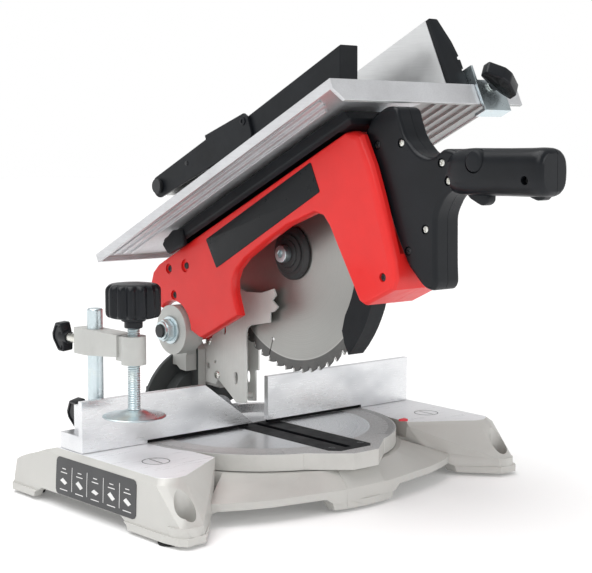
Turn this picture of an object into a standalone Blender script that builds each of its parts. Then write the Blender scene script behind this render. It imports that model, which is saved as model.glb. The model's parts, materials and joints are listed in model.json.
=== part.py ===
"""Combination mitre saw: a chop saw on a rotating table, with a second, sliding-height saw table over the head.

Lengths below are millimetres and are scaled to metres as the meshes are made.
World frame: +X right along the fence, +Y to the back, +Z up, standing on Z = 0.
Until the last step the mitre axis is at X = Y = 0; REF_X and REF_Y then move
the whole machine so that the origin is under the middle of its box.
Head frame: the head's own pieces are drawn with the upper table level. x is the
world's X, u runs forward from the chop hinge and v is square to the upper table.
"""

import math

import bmesh
import bpy
from mathutils import Matrix, Vector

for old in list(bpy.data.objects):
    bpy.data.objects.remove(old, do_unlink=True)

# ---------------------------------------------------------------- driving sizes
MM = 0.001
REF_X, REF_Y = 0.0, 98.15          # from the mitre axis to the middle of the box
BLADE_D = 210.0                   # saw blade, 2.4 mm kerf
BLADE_TEETH = 48
TABLE_Z = 48.6                    # working surface of the turntable
FENCE_TOP = 92.0
FENCE_L, FENCE_R = -189.0, 187.0
DISC_R = 122.4                    # turntable
HINGE_Y, HINGE_Z = 78.0, 131.0    # chop hinge
HEAD_RAISED = 25.1                # degrees: the head is up at rest
BLADE_U, BLADE_V = 144.5, 17.2    # arbor, in the head frame
TOP_V = 87.5                      # upper table's working surface, in the head frame
TOP_U0, TOP_U1 = -26.0, 333.6     # its back and front edges
TOP_X0, TOP_X1 = -86.7, 124.4     # its left and right edges
MOTOR_U, MOTOR_V = 114.5, 40.0    # motor axis, in the head frame
GEAR_T, PINION_T = 36, 12
GEAR_PITCH_R, PINION_PITCH_R = 28.2, 9.4
POST_X, POST_Y = -164.0, 18.0     # hold-down clamp's post
CLAMP_Y = -39.5                   # hold-down screw
RIP_KNOB_X, RIP_KNOB_V = 88.0, 84.5
GAP = 0.3                         # clearance between neighbouring pieces

PARTS = bpy.data.collections.new("combination_mitre_saw")
bpy.context.scene.collection.children.link(PARTS)


# ---------------------------------------------------------------- modelling tools
def link(name, mesh):
    ob = bpy.data.objects.new(name, mesh)
    PARTS.objects.link(ob)
    return ob


def evaluated_mesh(ob):
    bpy.context.view_layer.update()
    graph = bpy.context.evaluated_depsgraph_get()
    return bpy.data.meshes.new_from_object(ob.evaluated_get(graph))


def tidy(mesh, merge=2e-6):
    bm = bmesh.new()
    bm.from_mesh(mesh)
    bmesh.ops.remove_doubles(bm, verts=bm.verts, dist=merge)
    bmesh.ops.recalc_face_normals(bm, faces=bm.faces)
    bm.to_mesh(mesh)
    bm.free()


AXES = {
    "x": Matrix(((0, 0, 1), (1, 0, 0), (0, 1, 0))),
    "y": Matrix(((1, 0, 0), (0, 0, -1), (0, 1, 0))),
    "z": Matrix.Identity(3),
}


def stand(mesh, axis, along):
    """Turns a mesh drawn along Z onto an axis, and moves it along that axis."""
    mesh.transform(AXES[axis].to_4x4())
    shift = {"x": (along, 0, 0), "y": (0, along, 0), "z": (0, 0, along)}[axis]
    mesh.transform(Matrix.Translation(Vector(shift) * MM))


def prism(name, axis, lo, hi, outline, holes=()):
    """A flat outline with thickness. It is drawn in (y, z), (x, z) or (x, y)."""
    curve = bpy.data.curves.new(name, "CURVE")
    curve.dimensions = "2D"
    curve.fill_mode = "BOTH"
    curve.extrude = (hi - lo) / 2 * MM
    for ring in (outline, *holes):
        spline = curve.splines.new("POLY")
        spline.points.add(len(ring) - 1)
        for point, (a, b) in zip(spline.points, ring):
            point.co = (a * MM, b * MM, 0, 1)
        spline.use_cyclic_u = True
    ob = link(name, curve)
    mesh = evaluated_mesh(ob)
    bpy.data.objects.remove(ob, do_unlink=True)
    tidy(mesh)
    stand(mesh, axis, (lo + hi) / 2)
    return link(name, mesh)


def box(name, x, y, z, bevel=0.0):
    bm = bmesh.new()
    bmesh.ops.create_cube(bm, size=1)
    for v in bm.verts:
        v.co = Vector(
            [(lo + (c + 0.5) * (hi - lo)) * MM for c, (lo, hi) in zip(v.co, (x, y, z))]
        )
    if bevel:
        bmesh.ops.bevel(
            bm, geom=list(bm.edges), offset=bevel * MM, segments=2, profile=0.5, affect="EDGES"
        )
    mesh = bpy.data.meshes.new(name)
    bm.to_mesh(mesh)
    bm.free()
    return link(name, mesh)


def rod(name, axis, at, lo, hi, r, sides=20, r_end=None):
    """A cylinder or cone along an axis; at is its centre in the other two directions."""
    bm = bmesh.new()
    bmesh.ops.create_cone(
        bm, cap_ends=True, segments=sides, radius1=r * MM,
        radius2=(r if r_end is None else r_end) * MM, depth=(hi - lo) * MM,
    )
    mesh = bpy.data.meshes.new(name)
    bm.to_mesh(mesh)
    bm.free()
    stand(mesh, axis, (lo + hi) / 2)
    slide(mesh, axis, at)
    return link(name, mesh)


def slide(mesh, axis, at):
    a, b = at
    shift = {"x": (0, a, b), "y": (a, 0, b), "z": (a, b, 0)}[axis]
    mesh.transform(Matrix.Translation(Vector(shift) * MM))


def turned(name, axis, at, profile, steps=24):
    """A profile of (radius, height) turned about an axis."""
    bm = bmesh.new()
    verts = [bm.verts.new((r * MM, 0, h * MM)) for r, h in profile]
    for a, b in zip(verts, verts[1:]):
        bm.edges.new((a, b))
    closed = profile[0][0] > 0
    if closed:
        bm.edges.new((verts[-1], verts[0]))
    mesh = bpy.data.meshes.new(name)
    bm.to_mesh(mesh)
    bm.free()
    ob = link(name, mesh)
    screw = ob.modifiers.new("turn", "SCREW")
    screw.steps = screw.render_steps = steps
    screw.use_merge_vertices = True
    screw.merge_threshold = 0.00001
    made = evaluated_mesh(ob)
    bpy.data.objects.remove(ob, do_unlink=True)
    tidy(made)
    stand(made, axis, 0)
    slide(made, axis, at)
    return link(name, made)


def loft(name, rings):
    """A solid through rings of points that match one to one."""
    bm = bmesh.new()
    rows = [[bm.verts.new(Vector(p) * MM) for p in ring] for ring in rings]
    n = len(rows[0])
    for low, high in zip(rows, rows[1:]):
        for i in range(n):
            j = (i + 1) % n
            bm.faces.new((low[i], low[j], high[j], high[i]))
    bm.faces.new(rows[0][::-1])
    bm.faces.new(rows[-1])
    bmesh.ops.recalc_face_normals(bm, faces=bm.faces)
    mesh = bpy.data.meshes.new(name)
    bm.to_mesh(mesh)
    bm.free()
    return link(name, mesh)


def boolean(ob, operation, *others):
    for other in others:
        mod = ob.modifiers.new("b", "BOOLEAN")
        mod.operation = operation
        mod.solver = "EXACT"
        mod.object = other
        mesh = evaluated_mesh(ob)
        ob.modifiers.clear()
        tidy(mesh)
        ob.data = mesh
        bpy.data.objects.remove(other, do_unlink=True)
    return ob


def join(ob, *others):
    return boolean(ob, "UNION", *others)


def cut(ob, *others):
    return boolean(ob, "DIFFERENCE", *others)


def arc(cx, cy, r, start, end, n):
    return [
        (cx + r * math.cos(math.radians(start + (end - start) * i / n)),
         cy + r * math.sin(math.radians(start + (end - start) * i / n)))
        for i in range(n + 1)
    ]


def circle(cx, cy, r, n=20):
    return arc(cx, cy, r, 0, 360 - 360 / n, n - 1)


def area(ring):
    return sum(a[0] * b[1] - b[0] * a[1] for a, b in zip(ring, ring[1:] + ring[:1])) / 2


def inset(ring, by):
    """A ring moved inwards by a distance, or by one distance for each corner."""
    turn = 1 if area(ring) > 0 else -1
    out = []
    for i, p in enumerate(ring):
        a, b = Vector(ring[i - 1]), Vector(ring[(i + 1) % len(ring)])
        p = Vector(p)
        d1, d2 = (p - a).normalized(), (b - p).normalized()
        n1, n2 = Vector((-d1.y, d1.x)) * turn, Vector((-d2.y, d2.x)) * turn
        mid = n1 + n2
        mid = mid.normalized() if mid.length > 1e-6 else n1
        out.append(tuple(p + mid * ((by[i] if isinstance(by, list) else by) / max(0.35, mid.dot(n1)))))
    return out


def rounded(ring, r, n=3):
    """A ring with its corners rounded."""
    out = []
    for i, p in enumerate(ring):
        a, p, b = Vector(ring[i - 1]), Vector(p), Vector(ring[(i + 1) % len(ring)])
        d1, d2 = (a - p), (b - p)
        k = min(r, d1.length * 0.45, d2.length * 0.45)
        s, e = p + d1.normalized() * k, p + d2.normalized() * k
        for j in range(n + 1):
            t = j / n
            out.append(tuple((1 - t) ** 2 * s + 2 * t * (1 - t) * p + t * t * e))
    return out


def hp(points):
    """Head-frame (u, v) points as the (y, z) that prism takes."""
    return [(-u, v) for u, v in points]


def at_x(ring, x):
    return [(x, a, b) for a, b in ring]


def gear_ring(teeth, root, tip, share, phase):
    ring = []
    pitch = 360 / teeth
    for i in range(teeth):
        c = phase + i * pitch
        for r, w in ((root, -share * 1.25), (tip, -share * 0.62), (tip, share * 0.62), (root, share * 1.25)):
            a = math.radians(c + w * pitch / 2)
            ring.append((r * math.cos(a), r * math.sin(a)))
    return ring


# ---------------------------------------------------------------- materials
def paint(name, colour, rough, metal=0.0):
    m = bpy.data.materials.new(name)
    m.use_nodes = True
    shader = m.node_tree.nodes["Principled BSDF"]
    shader.inputs["Base Color"].default_value = (*colour, 1)
    shader.inputs["Roughness"].default_value = rough
    shader.inputs["Metallic"].default_value = metal
    return m


LOOKS = {
    "cast": ((0.62, 0.62, 0.60), 0.5, 0.35),
    "machined": ((0.78, 0.79, 0.82), 0.28, 0.9),
    "red": ((0.75, 0.03, 0.03), 0.32, 0.0),
    "black": ((0.02, 0.021, 0.024), 0.45, 0.0),
    "zinc": ((0.7, 0.74, 0.74), 0.3, 1.0),
    "steel": ((0.55, 0.55, 0.54), 0.3, 1.0),
    "dark": ((0.06, 0.065, 0.07), 0.5, 0.2),
    "rubber": ((0.015, 0.015, 0.015), 0.85, 0.0),
    "copper": ((0.5, 0.22, 0.1), 0.4, 0.9),
    "pointer": ((0.8, 0.05, 0.06), 0.4, 0.0),
    "alloy": ((0.72, 0.73, 0.74), 0.4, 0.8),
}

# ---------------------------------------------------------------- joint frames
WORLD = Matrix.Translation((-REF_X * MM, REF_Y * MM, 0))
HEAD = (
    WORLD
    @ Matrix.Translation((0, HINGE_Y * MM, HINGE_Z * MM))
    @ Matrix.Rotation(-math.radians(HEAD_RAISED), 4, "X")
)


def pivot(name, frame, at, parent=None):
    e = bpy.data.objects.new(name, None)
    e.empty_display_size = 0.02
    PARTS.objects.link(e)
    place = frame @ Matrix.Translation(Vector(at) * MM)
    if parent:
        e.parent = parent
        e.matrix_parent_inverse = parent.matrix_world.inverted()
    e.matrix_basis = place
    bpy.context.view_layer.update()
    return e


STAND = pivot("stand_pivot", WORLD, (0, 0, 0))
MITRE = pivot("mitre_pivot", WORLD, (0, 0, TABLE_Z), STAND)
BEVEL = pivot("bevel_pivot", WORLD, (0, 84, TABLE_Z), MITRE)
BEVEL_LOCK = pivot("bevel_lock_pivot", WORLD, (-25, 109, 76), BEVEL)
CHOP = pivot("chop_pivot", HEAD, (0, 0, 0), BEVEL)
ARBOR = pivot("arbor_pivot", HEAD, (0, -BLADE_U, BLADE_V), CHOP)
LOWER = pivot("lower_guard_pivot", HEAD, (0, -BLADE_U, BLADE_V), CHOP)
MOTOR = pivot("motor_pivot", HEAD, (0, -MOTOR_U, MOTOR_V), CHOP)
LIFT = pivot("table_lift_pivot", HEAD, (0, -154, TOP_V), CHOP)
RIP = pivot("rip_fence_pivot", HEAD, (50, -329, TOP_V), LIFT)
RIP_KNOB = pivot("rip_knob_pivot", HEAD, (RIP_KNOB_X, -351, RIP_KNOB_V), RIP)
OVER = pivot("upper_guard_pivot", HEAD, (0, 0.5, 144.5), CHOP)
TRIGGER = pivot("trigger_pivot", HEAD, (-20, -375, -20), CHOP)
LOCK = pivot("lock_button_pivot", HEAD, (-37, -397, -9.5), CHOP)
TABLE_KNOB = pivot("table_lock_pivot", HEAD, (31, -262, 45), CHOP)
POST = pivot("clamp_post_pivot", WORLD, (POST_X, POST_Y, 72), STAND)
CLAMP = pivot("clamp_pivot", WORLD, (POST_X, POST_Y, 137), POST)
CLAMP_SCREW = pivot("clamp_screw_pivot", WORLD, (POST_X, CLAMP_Y, 137), CLAMP)
CLAMP_WING = pivot("clamp_wing_pivot", WORLD, (POST_X, 70, 137), CLAMP)
POST_KNOB = pivot("post_knob_pivot", WORLD, (POST_X, 40, 72), STAND)


def put(ob, look, frame, parent):
    """Finishes a piece: its place, its joint's empty, its material and its shading."""
    ob.parent = parent
    ob.matrix_parent_inverse = parent.matrix_world.inverted()
    ob.matrix_basis = frame
    ob.data.materials.clear()
    ob.data.materials.append(paint(ob.name, *LOOKS[look]))
    ob.data.shade_smooth()
    ob.data.set_sharp_from_angle(angle=math.radians(32))
    return ob


# ================================================================ stand
# Base casting: a low drum under the turntable, two wings, and a lug at each corner.
drum = turned(
    "base", "z", (0, 0),
    [(127, 33.8), (139, 9), (141, 9), (141, 3), (131, 3), (131, 6), (119, 26), (20.4, 26), (20.4, 33.8)],
    steps=48,
)
cut(drum, box("c", (-160, 160), (104, 170), (-5, 60)))


def wing(side):
    rings = []
    for z, ring in (
        (3, [(201, 96), (194, 104), (104, 104), (104, -60), (128, -96), (168, -141), (186, -143), (191, -138), (194, -122)]),
        (9, [(201, 96), (194, 104), (104, 104), (104, -60), (128, -96), (168, -141), (186, -143), (191, -138), (194, -122)]),
        (9.01, [(199.5, 95.5), (193, 102.5), (104, 102.5), (104, -60), (126, -95), (168, -139.5), (185, -141.5), (189.5, -137), (192.5, -121.5)]),
        (16, [(199, 95), (192, 102), (104, 102), (104, -60), (124.5, -93), (168, -138), (184, -140), (188.5, -136), (192, -121)]),
        (44, [(197, 90), (188, 98), (104, 98), (104, -60), (112, -78.5), (167, -115.5), (178, -117.5), (186, -114), (191.5, -109)]),
        (TABLE_Z, [(192, 85), (184, 92), (104, 92), (104, -60), (110, -76), (165, -111.5), (175, -113), (182, -109), (187, -104)]),
    ):
        rings.append([(side * x, y, z) for x, y in (ring if side > 0 else ring[::-1])])
    return loft("w", rings)


def apron(side):
    """The sloping web between the drum and the front of a wing."""
    lip = [(18, -139.4), (30, -139.2), (60, -133), (90, -127), (112, -119.5), (128, -112), (138, -103.5)]
    rings = []
    for z, r_in, top in ((9, 131, False), (19.5, 127.5, False), (33.7, 122.5, True)):
        ring = arc(0, 0, 127.2, -82.7, -36.5, 6) if top else lip
        ring = ring + arc(0, 0, r_in, -37.5, -82, 4)
        rings.append([(side * x, y, z) for x, y in (ring if side > 0 else ring[::-1])])
    return loft("a", rings)


base = join(drum, wing(1), wing(-1), apron(1), apron(-1))
# room for the turntable, and for its nose where it swings to each end of its range
cut(base, rod("c", "z", (0, 0), 33.8, 60, DISC_R + 0.9, 64))


def nose(grow):
    """Plan of the turntable's nose, grown by a clearance."""
    return [(-46 - grow, -113), (-14 - grow * 0.5, -139.5 - grow), (14 + grow * 0.5, -139.5 - grow), (46 + grow, -113), (0, -60)]


for turn in (-45, 45):
    c, s = math.cos(math.radians(turn)), math.sin(math.radians(turn))
    cut(base, prism("c", "z", 33.8, 60, [(x * c - y * s, x * s + y * c) for x, y in nose(1.2)]))
# the wings fall away behind the fence
for side in (1, -1):
    cut(base, prism("c", "x", *sorted((side * 225, side * 103.5)), [(36, 48.62), (48, 45.5), (60, 41.3), (74, 37.4), (86, 33.2), (95, 28.5), (101, 23.5), (104.5, 12), (130, 12), (130, 70), (36, 70)]))
# hollow underside of each wing
for side in (1, -1):
    hollow = loft("c", [
        [(side * x, y, z) for x, y in (ring if side > 0 else ring[::-1])]
        for z, ring in (
            (-2, [(194, 90), (112, 90), (112, -70), (128, -88), (160, -118), (188, -112)]),
            (36, [(186, 46), (128, 46), (128, -66), (132, -76), (158, -98), (182, -94)]),
        )
    ])
    cut(base, hollow)
# arches along the foot of the casting
for side in (1, -1):
    cut(base, prism("c", "x", *sorted((side * 215, side * 150)), [(-78, -2), (-74, 7), (-64, 12), (52, 12), (60, 7), (62, -2)]))
    cut(base, prism("c", "y", -160, -57, [(side * x, z) for x, z in ((31, -2), (35, 9), (42, 13.5), (104, 13.5), (132, 13.5), (140, 9), (143, -2))]))
cut(base, prism("c", "y", 90, 120, [(-150, -2), (-144, 10), (-132, 14), (132, 14), (144, 10), (150, -2)]))
# bench-bolt recess and hole in each front lug, and a hole for each foot's stem
for side in (1, -1):
    join(base, rod("j", "z", (side * 178, -128), 4, 16, 14, 24))
    cut(base, rod("c", "z", (side * 178, -128), 12, 70, 8.6, 24), rod("c", "z", (side * 178, -128), -2, 14, 4.2, 16))
    join(base, rod("j", "z", (side * 186, 84), 3.2, 14, 9, 16))
FEET = {"foot_front_left": (-188, -118), "foot_front_right": (188, -118), "foot_back_left": (-186, 84), "foot_back_right": (186, 84)}
for x, y in FEET.values():
    if y < 0:
        join(base, rod("j", "z", (x * 0.985, y), 3.2, 14, 6.5, 16))
    cut(base, rod("c", "z", (x * (0.985 if y < 0 else 1), y), -2, 9.3, 3.3, 12))
put(base, "cast", WORLD, STAND)
for name, (x, y) in FEET.items():
    foot = turned(name, "z", (x * (0.985 if y < 0 else 1), y), [(0, 8.8), (3, 8.8), (3, 2.7), (9, 2.7), (9.5, 2), (9, 0), (0, 0)], 14)
    put(foot, "rubber", WORLD, STAND)

# Fence: two faces joined behind the blade by a low bridge, on feet over the wings.
fence = prism("fence", "y", 0, 5.5, [
    (FENCE_L, TABLE_Z + GAP), (-124.5, TABLE_Z + GAP), (-124.5, 51.6), (-9, 51.6), (-63, FENCE_TOP), (FENCE_L, FENCE_TOP)])
join(
    fence,
    prism("j", "z", 51.6, 60, arc(0, 3, 47, 2, 178, 14) + arc(0, 3, 39, 178, 2, 14)),
    prism("j", "y", 0, 5.5, [(8, 51.6), (124.5, 51.6), (124.5, TABLE_Z + GAP), (FENCE_R, TABLE_Z + GAP), (FENCE_R, FENCE_TOP), (8, FENCE_TOP)]),
    box("j", (FENCE_L, -128), (4, 34), (TABLE_Z + GAP, 62.6)),
    box("j", (128, FENCE_R), (4, 34), (TABLE_Z + GAP, 62.6)),
    box("j", (-177, -151), (4, 32), (60, 84)),
)
for x in (-75, 40, 75):
    join(fence, prism("j", "x", x, x + 6, [(4, 51.6), (18, 51.6), (4, 80)]))
cut(fence, rod("c", "z", (POST_X, POST_Y), 52.6, 90, 6.8, 24), rod("c", "y", (POST_X, 72), 22, 40, 4.3, 16))
put(fence, "machined", WORLD, STAND)

post = turned("clamp_post", "z", (POST_X, POST_Y), [(0, 166), (5.5, 166), (6.5, 165), (6.5, 53), (0, 53)], 24)
put(post, "zinc", WORLD, POST)


def wing_knob(name, axis, at, lo, hi, screw, r, wide=8.5, thick=None):
    """A two-winged clamping knob on its screw."""
    thick = thick or (hi - lo)
    outline = rounded([(at[0] + a * r, at[1] + b * wide) for a, b in
                       ((-1, -0.75), (-0.35, -1), (0.35, -1), (1, -0.75), (1, 0.75), (0.35, 1), (-0.35, 1), (-1, 0.75))], 2.5, 2)
    knob = prism(name, axis, lo, hi, outline)
    join(knob, rod("j", axis, at, min(screw), max(screw), 3.9, 16))
    return knob


put(wing_knob("post_lock_knob", "y", (POST_X, 72), 35, 57, (25.4, 38), 15, 12), "black", WORLD, POST_KNOB)

pointer = prism("mitre_pointer", "z", 48.9, 51.2, [(104.6, -71.5), (113.5, -70), (112, -76.5)])
put(pointer, "pointer", WORLD, STAND)

# ================================================================ turntable
plan = arc(0, 0, DISC_R, 172, 247.5, 14) + nose(0)[:4] + arc(0, 0, DISC_R, 292.5, 368, 14) + arc(0, 0, 80, 8, 172, 16)
turntable = prism("turntable", "z", 34.6, TABLE_Z, plan)
join(
    turntable,
    rod("j", "z", (0, 0), 26.6, 35, 20, 32),
    prism("j", "y", 64, 83, arc(0, TABLE_Z, 18, 0, 180, 14) + [(-18, 35), (18, 35)]),
)
cut(
    turntable,
    prism("c", "z", 44.3, 60, [(-24.3, 12.3), (-24.3, -119), (-17, -126.3), (17, -126.3), (24.3, -119), (24.3, 12.3)]),
    prism("c", "z", 38, 60, rounded([(-8, 10), (-8, -118), (8, -118), (8, 10)], 6)),
    rod("c", "y", (0, TABLE_Z), 60, 90, 6.3, 20),
    rod("c", "y", (0, TABLE_Z), 54, 63.9, 9.6, 20),
    rod("c", "z", (0, 0), 20, 36, 6.3, 20),
    # thumb recesses under the rim that the turntable is swung by
    prism("c", "z", 30, 38, rounded([(-60, -90), (-30, -108), (-24, -96), (-52, -78)], 4)),
    prism("c", "z", 30, 38, rounded([(60, -90), (30, -108), (24, -96), (52, -78)], 4)),
)
put(turntable, "machined", WORLD, MITRE)

bolt = turned("mitre_pivot_bolt", "z", (0, 0), [(0, 35.4), (6, 35.4), (6, 25.6), (27, 25.6), (27, 22.5), (10, 22.5), (10, 16), (0, 16)], 16)
put(bolt, "zinc", WORLD, MITRE)

insert = prism(
    "kerf_insert", "z", 44.6, 48.4,
    [(-24, 12), (-24, -118.8), (-16.8, -126), (16.8, -126), (24, -118.8), (24, 12)],
    [[(-3, 8), (-3, -117), (3, -117), (3, 8)]],
)
put(insert, "black", WORLD, MITRE)

pin = turned("bevel_pivot_pin", "y", (0, TABLE_Z), [(0, -57), (9, -57), (9, -63.5), (6, -63.5), (6, -104), (0, -104)], 20)
put(pin, "zinc", WORLD, MITRE)

# Bevel quadrant: a plate on the pivot pin, with the slot the lock's stud slides in.
quadrant = prism(
    "bevel_quadrant", "y", 97.4, 101.4, arc(0, TABLE_Z, 62, 92, 172, 16) + arc(0, TABLE_Z, 12, 200, 430, 12),
    [arc(0, TABLE_Z, 41.8, 125, 169, 8) + arc(0, TABLE_Z, 32.6, 169, 125, 8), circle(0, TABLE_Z, 6.3, 16)])
put(quadrant, "dark", WORLD, MITRE)

# ================================================================ bevel arm
bracket = prism("arm_bracket", "y", 83.4, 97, arc(0, TABLE_Z, 44, 15, 165, 16) + arc(0, TABLE_Z, 13, 180, 360, 10))
ear = [(97, 99), (97, 118), (92, 141), (84, 148), (72, 148), (63, 141), (60, 131), (63, 118), (71, 112), (76, 106), (76, 91), (85.5, 91.6)]
join(
    bracket,
    box("j", (-17, 17), (83.4, 97), (58, 104)),
    box("j", (-29, 29), (83.4, 97), (95, 104)),
    prism("j", "x", -29, -20, ear),
    prism("j", "x", 20, 29, ear),
    prism("j", "x", -21, -16.5, [(97, 99), (97, 117), (76, 117), (76, 91), (85.5, 91.6)]),
    prism("j", "x", 16.5, 21, [(97, 99), (97, 104), (76, 104), (76, 91), (85.5, 91.6)]),
    prism("j", "x", -17, -8.4, [(73, 71), (90, 71), (90, 117), (77.5, 117), (73, 110)]),
    prism("j", "x", 8.4, 17, [(73, 71), (90, 71), (90, 104), (77.5, 104), (73, 100)]),
    rod("j", "x", (HINGE_Y, HINGE_Z), -44, -28, 23, 40),
    box("j", (-5.9, 5.9), (58, 84), (76, 109)),
)
cut(bracket, rod("c", "x", (HINGE_Y, HINGE_Z), -50, 50, 6.3, 20), rod("c", "y", (0, TABLE_Z), 80, 100, 6.3, 20),
    rod("c", "y", (-25, 76), 90, 100, 4.3, 16))
put(bracket, "cast", WORLD, BEVEL)

hinge_bolt = rod("hinge_bolt", "x", (HINGE_Y, HINGE_Z), -58, 48, 6, 20)
join(hinge_bolt, rod("j", "x", (HINGE_Y, HINGE_Z), 46, 53, 10, 6))
put(hinge_bolt, "dark", WORLD, BEVEL)
nut = rod("hinge_nut", "x", (HINGE_Y, HINGE_Z), -53.5, -46.6, 10.5, 6)
join(nut, rod("j", "x", (HINGE_Y, HINGE_Z), -56, -53, 8.6, 20))
cut(nut, rod("c", "x", (HINGE_Y, HINGE_Z), -60, -40, 6.3, 20))
put(nut, "zinc", WORLD, BEVEL)
washer = rod("hinge_washer", "x", (HINGE_Y, HINGE_Z), -46.3, -44.3, 13, 28)
cut(washer, rod("c", "x", (HINGE_Y, HINGE_Z), -50, -40, 6.3, 20))
put(washer, "zinc", WORLD, BEVEL)


def coil(name, axis_at, x0, x1, r, wire, turns, per_turn=12):
    curve = bpy.data.curves.new(name, "CURVE")
    curve.dimensions = "3D"
    curve.bevel_depth = wire / 2 * MM
    curve.bevel_resolution = 1
    curve.use_fill_caps = True
    spline = curve.splines.new("POLY")
    n = int(turns * per_turn)
    spline.points.add(n)
    for i, point in enumerate(spline.points):
        a = 2 * math.pi * i / per_turn
        point.co = ((x0 + (x1 - x0) * i / n) * MM, (axis_at[0] + r * math.cos(a)) * MM, (axis_at[1] + r * math.sin(a)) * MM, 1)
    ob = link(name, curve)
    mesh = evaluated_mesh(ob)
    bpy.data.objects.remove(ob, do_unlink=True)
    tidy(mesh)
    return link(name, mesh)


put(coil("return_spring", (HINGE_Y, HINGE_Z), 31.5, 43.5, 11.5, 2.0, 4, 10), "steel", WORLD, BEVEL)

# Blade channel: a folded steel plate on each side of the blade, with a hooked nose.
side_plate = [(83, 79), (83, 113), (76, 115), (66, 118), (61, 126), (50, 136), (40, 152), (34, 175), (12, 169.5), (-10, 170.5),
              (-27, 175.5), (-30, 170), (-25, 165), (-33, 160), (-28, 155.5), (-22, 154), (-22, 145), (6, 139.5), (11, 136), (12, 131),
              (12, 67.5), (27, 65.8), (34, 71), (54, 84), (58, 79)]
channel = prism("blade_channel", "x", -8, -6.4, side_plate, [
    rounded([(42, 127), (46, 127), (46, 138), (42, 138)], 2),
    rounded([(25, 83), (29, 83), (30, 89), (29, 94), (25, 94), (24, 89)], 1.5),
    circle(69, 95, 3, 12), circle(58.3, 99.8, 1.5, 8)])
join(
    channel,
    prism("j", "x", 6.4, 8, side_plate, [rounded([(25, 83), (29, 83), (30, 89), (29, 94), (25, 94), (24, 89)], 1.5)]),
    rod("j", "x", (23, 72), -7, 7, 3, 12),
    rod("j", "x", (51, 92), -7, 7, 3, 12),
)
# the far plate is cut back to pass the right-hand fence, and the riving knife's seat
cut(channel, box("c", (5, 9), (8, 16.4), (60, 96)), box("c", (5, 9), (26, 60), (164, 182)))
put(channel, "zinc", WORLD, BEVEL)

lever = rod("bevel_lock_lever", "y", (-25, 76), 101.8, 115.4, 12, 24)
join(lever, rod("j", "y", (-25, 76), 92, 102, 4, 16), box("j", (-30, -20), (110, 142), (61, 68), 1.5), box("j", (-30, -20), (108, 114.5), (62, 76)))
put(lever, "dark", WORLD, BEVEL_LOCK)

# ================================================================ head
# Left cover: an arm over the blade and a leg in front of it, open below.
around_hinge = [(u, v) for u, v in arc(0, 0, 25.9, -22, 112, 12)]
cover = [(3, 64.2), (48, 65), (288, 65.5), (296, 62.5), (303, 56), (304.5, 30), (303.2, 5), (300.6, -23), (297.7, -48), (293, -61),
         (286, -67), (252, -67), (247.5, -62), (239.5, 5), (236, 15.5), (227, 22), (191, 25.4), (160, 24), (127, 21), (112, 16.5), (104, 10),
         (99.5, 0), (97.6, -21), (38, -21.6), (33.5, -19.5)] + around_hinge + [(-17.5, 30), (-19.5, 40), (-16, 53), (-8, 61)]
soft = [7.0 if 3 <= i <= 9 else 3.2 for i in range(len(cover))]   # the front edge is rounder


def softened(share):
    return hp(inset(cover, [share * s for s in soft]))


left_cover = loft("left_cover", [
    at_x(softened(1.0), -42), at_x(softened(0.52), -41.4), at_x(softened(0.2), -39.9), at_x(hp(cover), -37.4), at_x(hp(cover), -33.6)])
cut(left_cover, prism("c", "x", -38.6, -30, hp(inset(cover, 3.4))))


def wall(ring, first, last, thick):
    """The strip of a ring between two of its corners, as an outline."""
    inner = inset(ring, thick)
    return ring[first:last + 1] + inner[first:last + 1][::-1]


join(left_cover, prism("j", "x", -36, -10.3, hp(wall(cover, 0, 2, 3.2))), prism("j", "x", -36, -10.3, hp(wall(cover, 10, 11, 3.2))),
     prism("j", "x", -36, -10.3, hp([(298, -42), (297.7, -48), (293, -61), (286, -67), (284, -63.9), (290.2, -58.6), (294.4, -47.5), (294.8, -42)])))
join(left_cover, *[rod("j", "x", (-u, v), -40, -10.3, 5, 16) for u, v in ((281, -54.4), (283, 45))])
cut(left_cover, *[rod("c", "x", (-u, v), -50, -40, 3.6, 16) for u, v in ((281, -54.4), (15, 28.7), (43.3, 46.8), (18.1, 53.6))])
put(left_cover, "red", HEAD, CHOP)

# Right housing: carries the arbor, the gears, the motor, the hinge lug and the upper table's posts.
bulge = [(BLADE_U + 36 * math.cos(math.radians(a)), BLADE_V + 36 * math.sin(math.radians(a))) for a in range(-10, -171, -20)]
body = [(20, 62), (48, 62.5), (282, 62.5), (298, 54), (301, 25), (301, -5), (296, -30), (290, -45), (283, -56), (276, -62), (252, -62), (240, 4), (228, 16)] + bulge + [
    (98, 6), (60, -8), (30, -10), (16, 0), (10, 30)]
housing = prism("right_housing", "x", 9, 30, hp(body))
join(
    housing,
    prism("j", "x", -10, 12, hp(wall(cover, 4, 11, 5.2))),
    rod("j", "x", (0, 0), -19.7, 19.7, 12.4, 28),
    prism("j", "x", 9.6, 19.7, hp([(0, -12), (40, -9), (40, 28), (0, 12.3)])),
    box("j", (1.4, 10), (-46, -27), (40, 60)),
    prism("j", "x", 9, 30, hp(circle(60, 49, 10.5))),
)
cut(
    housing,
    # the far ear of the bracket swings clear here
    prism("c", "x", 19.7, 40, hp(circle(0, 0, 31, 28))),
    rod("c", "x", (0, 0), -30, 30, 6.3, 20),
    # bearing seat and gear case
    rod("c", "x", (-BLADE_U, BLADE_V), 5, 14.2, 15.3, 28),
    rod("c", "x", (-BLADE_U, BLADE_V), 14, 35, 31, 32),
    rod("c", "x", (-MOTOR_U, MOTOR_V), 14, 35, 13, 24),
    *[rod("c", "z", (19.5, -u), 20, 80, 6.3, 20) for u in (60, 270)],
    rod("c", "x", (-262, 45), 24, 40, 4.3, 16),
    rod("c", "x", (-36, 50), 0, 8, 2.4, 12),
)
put(housing, "red", HEAD, CHOP)

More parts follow.
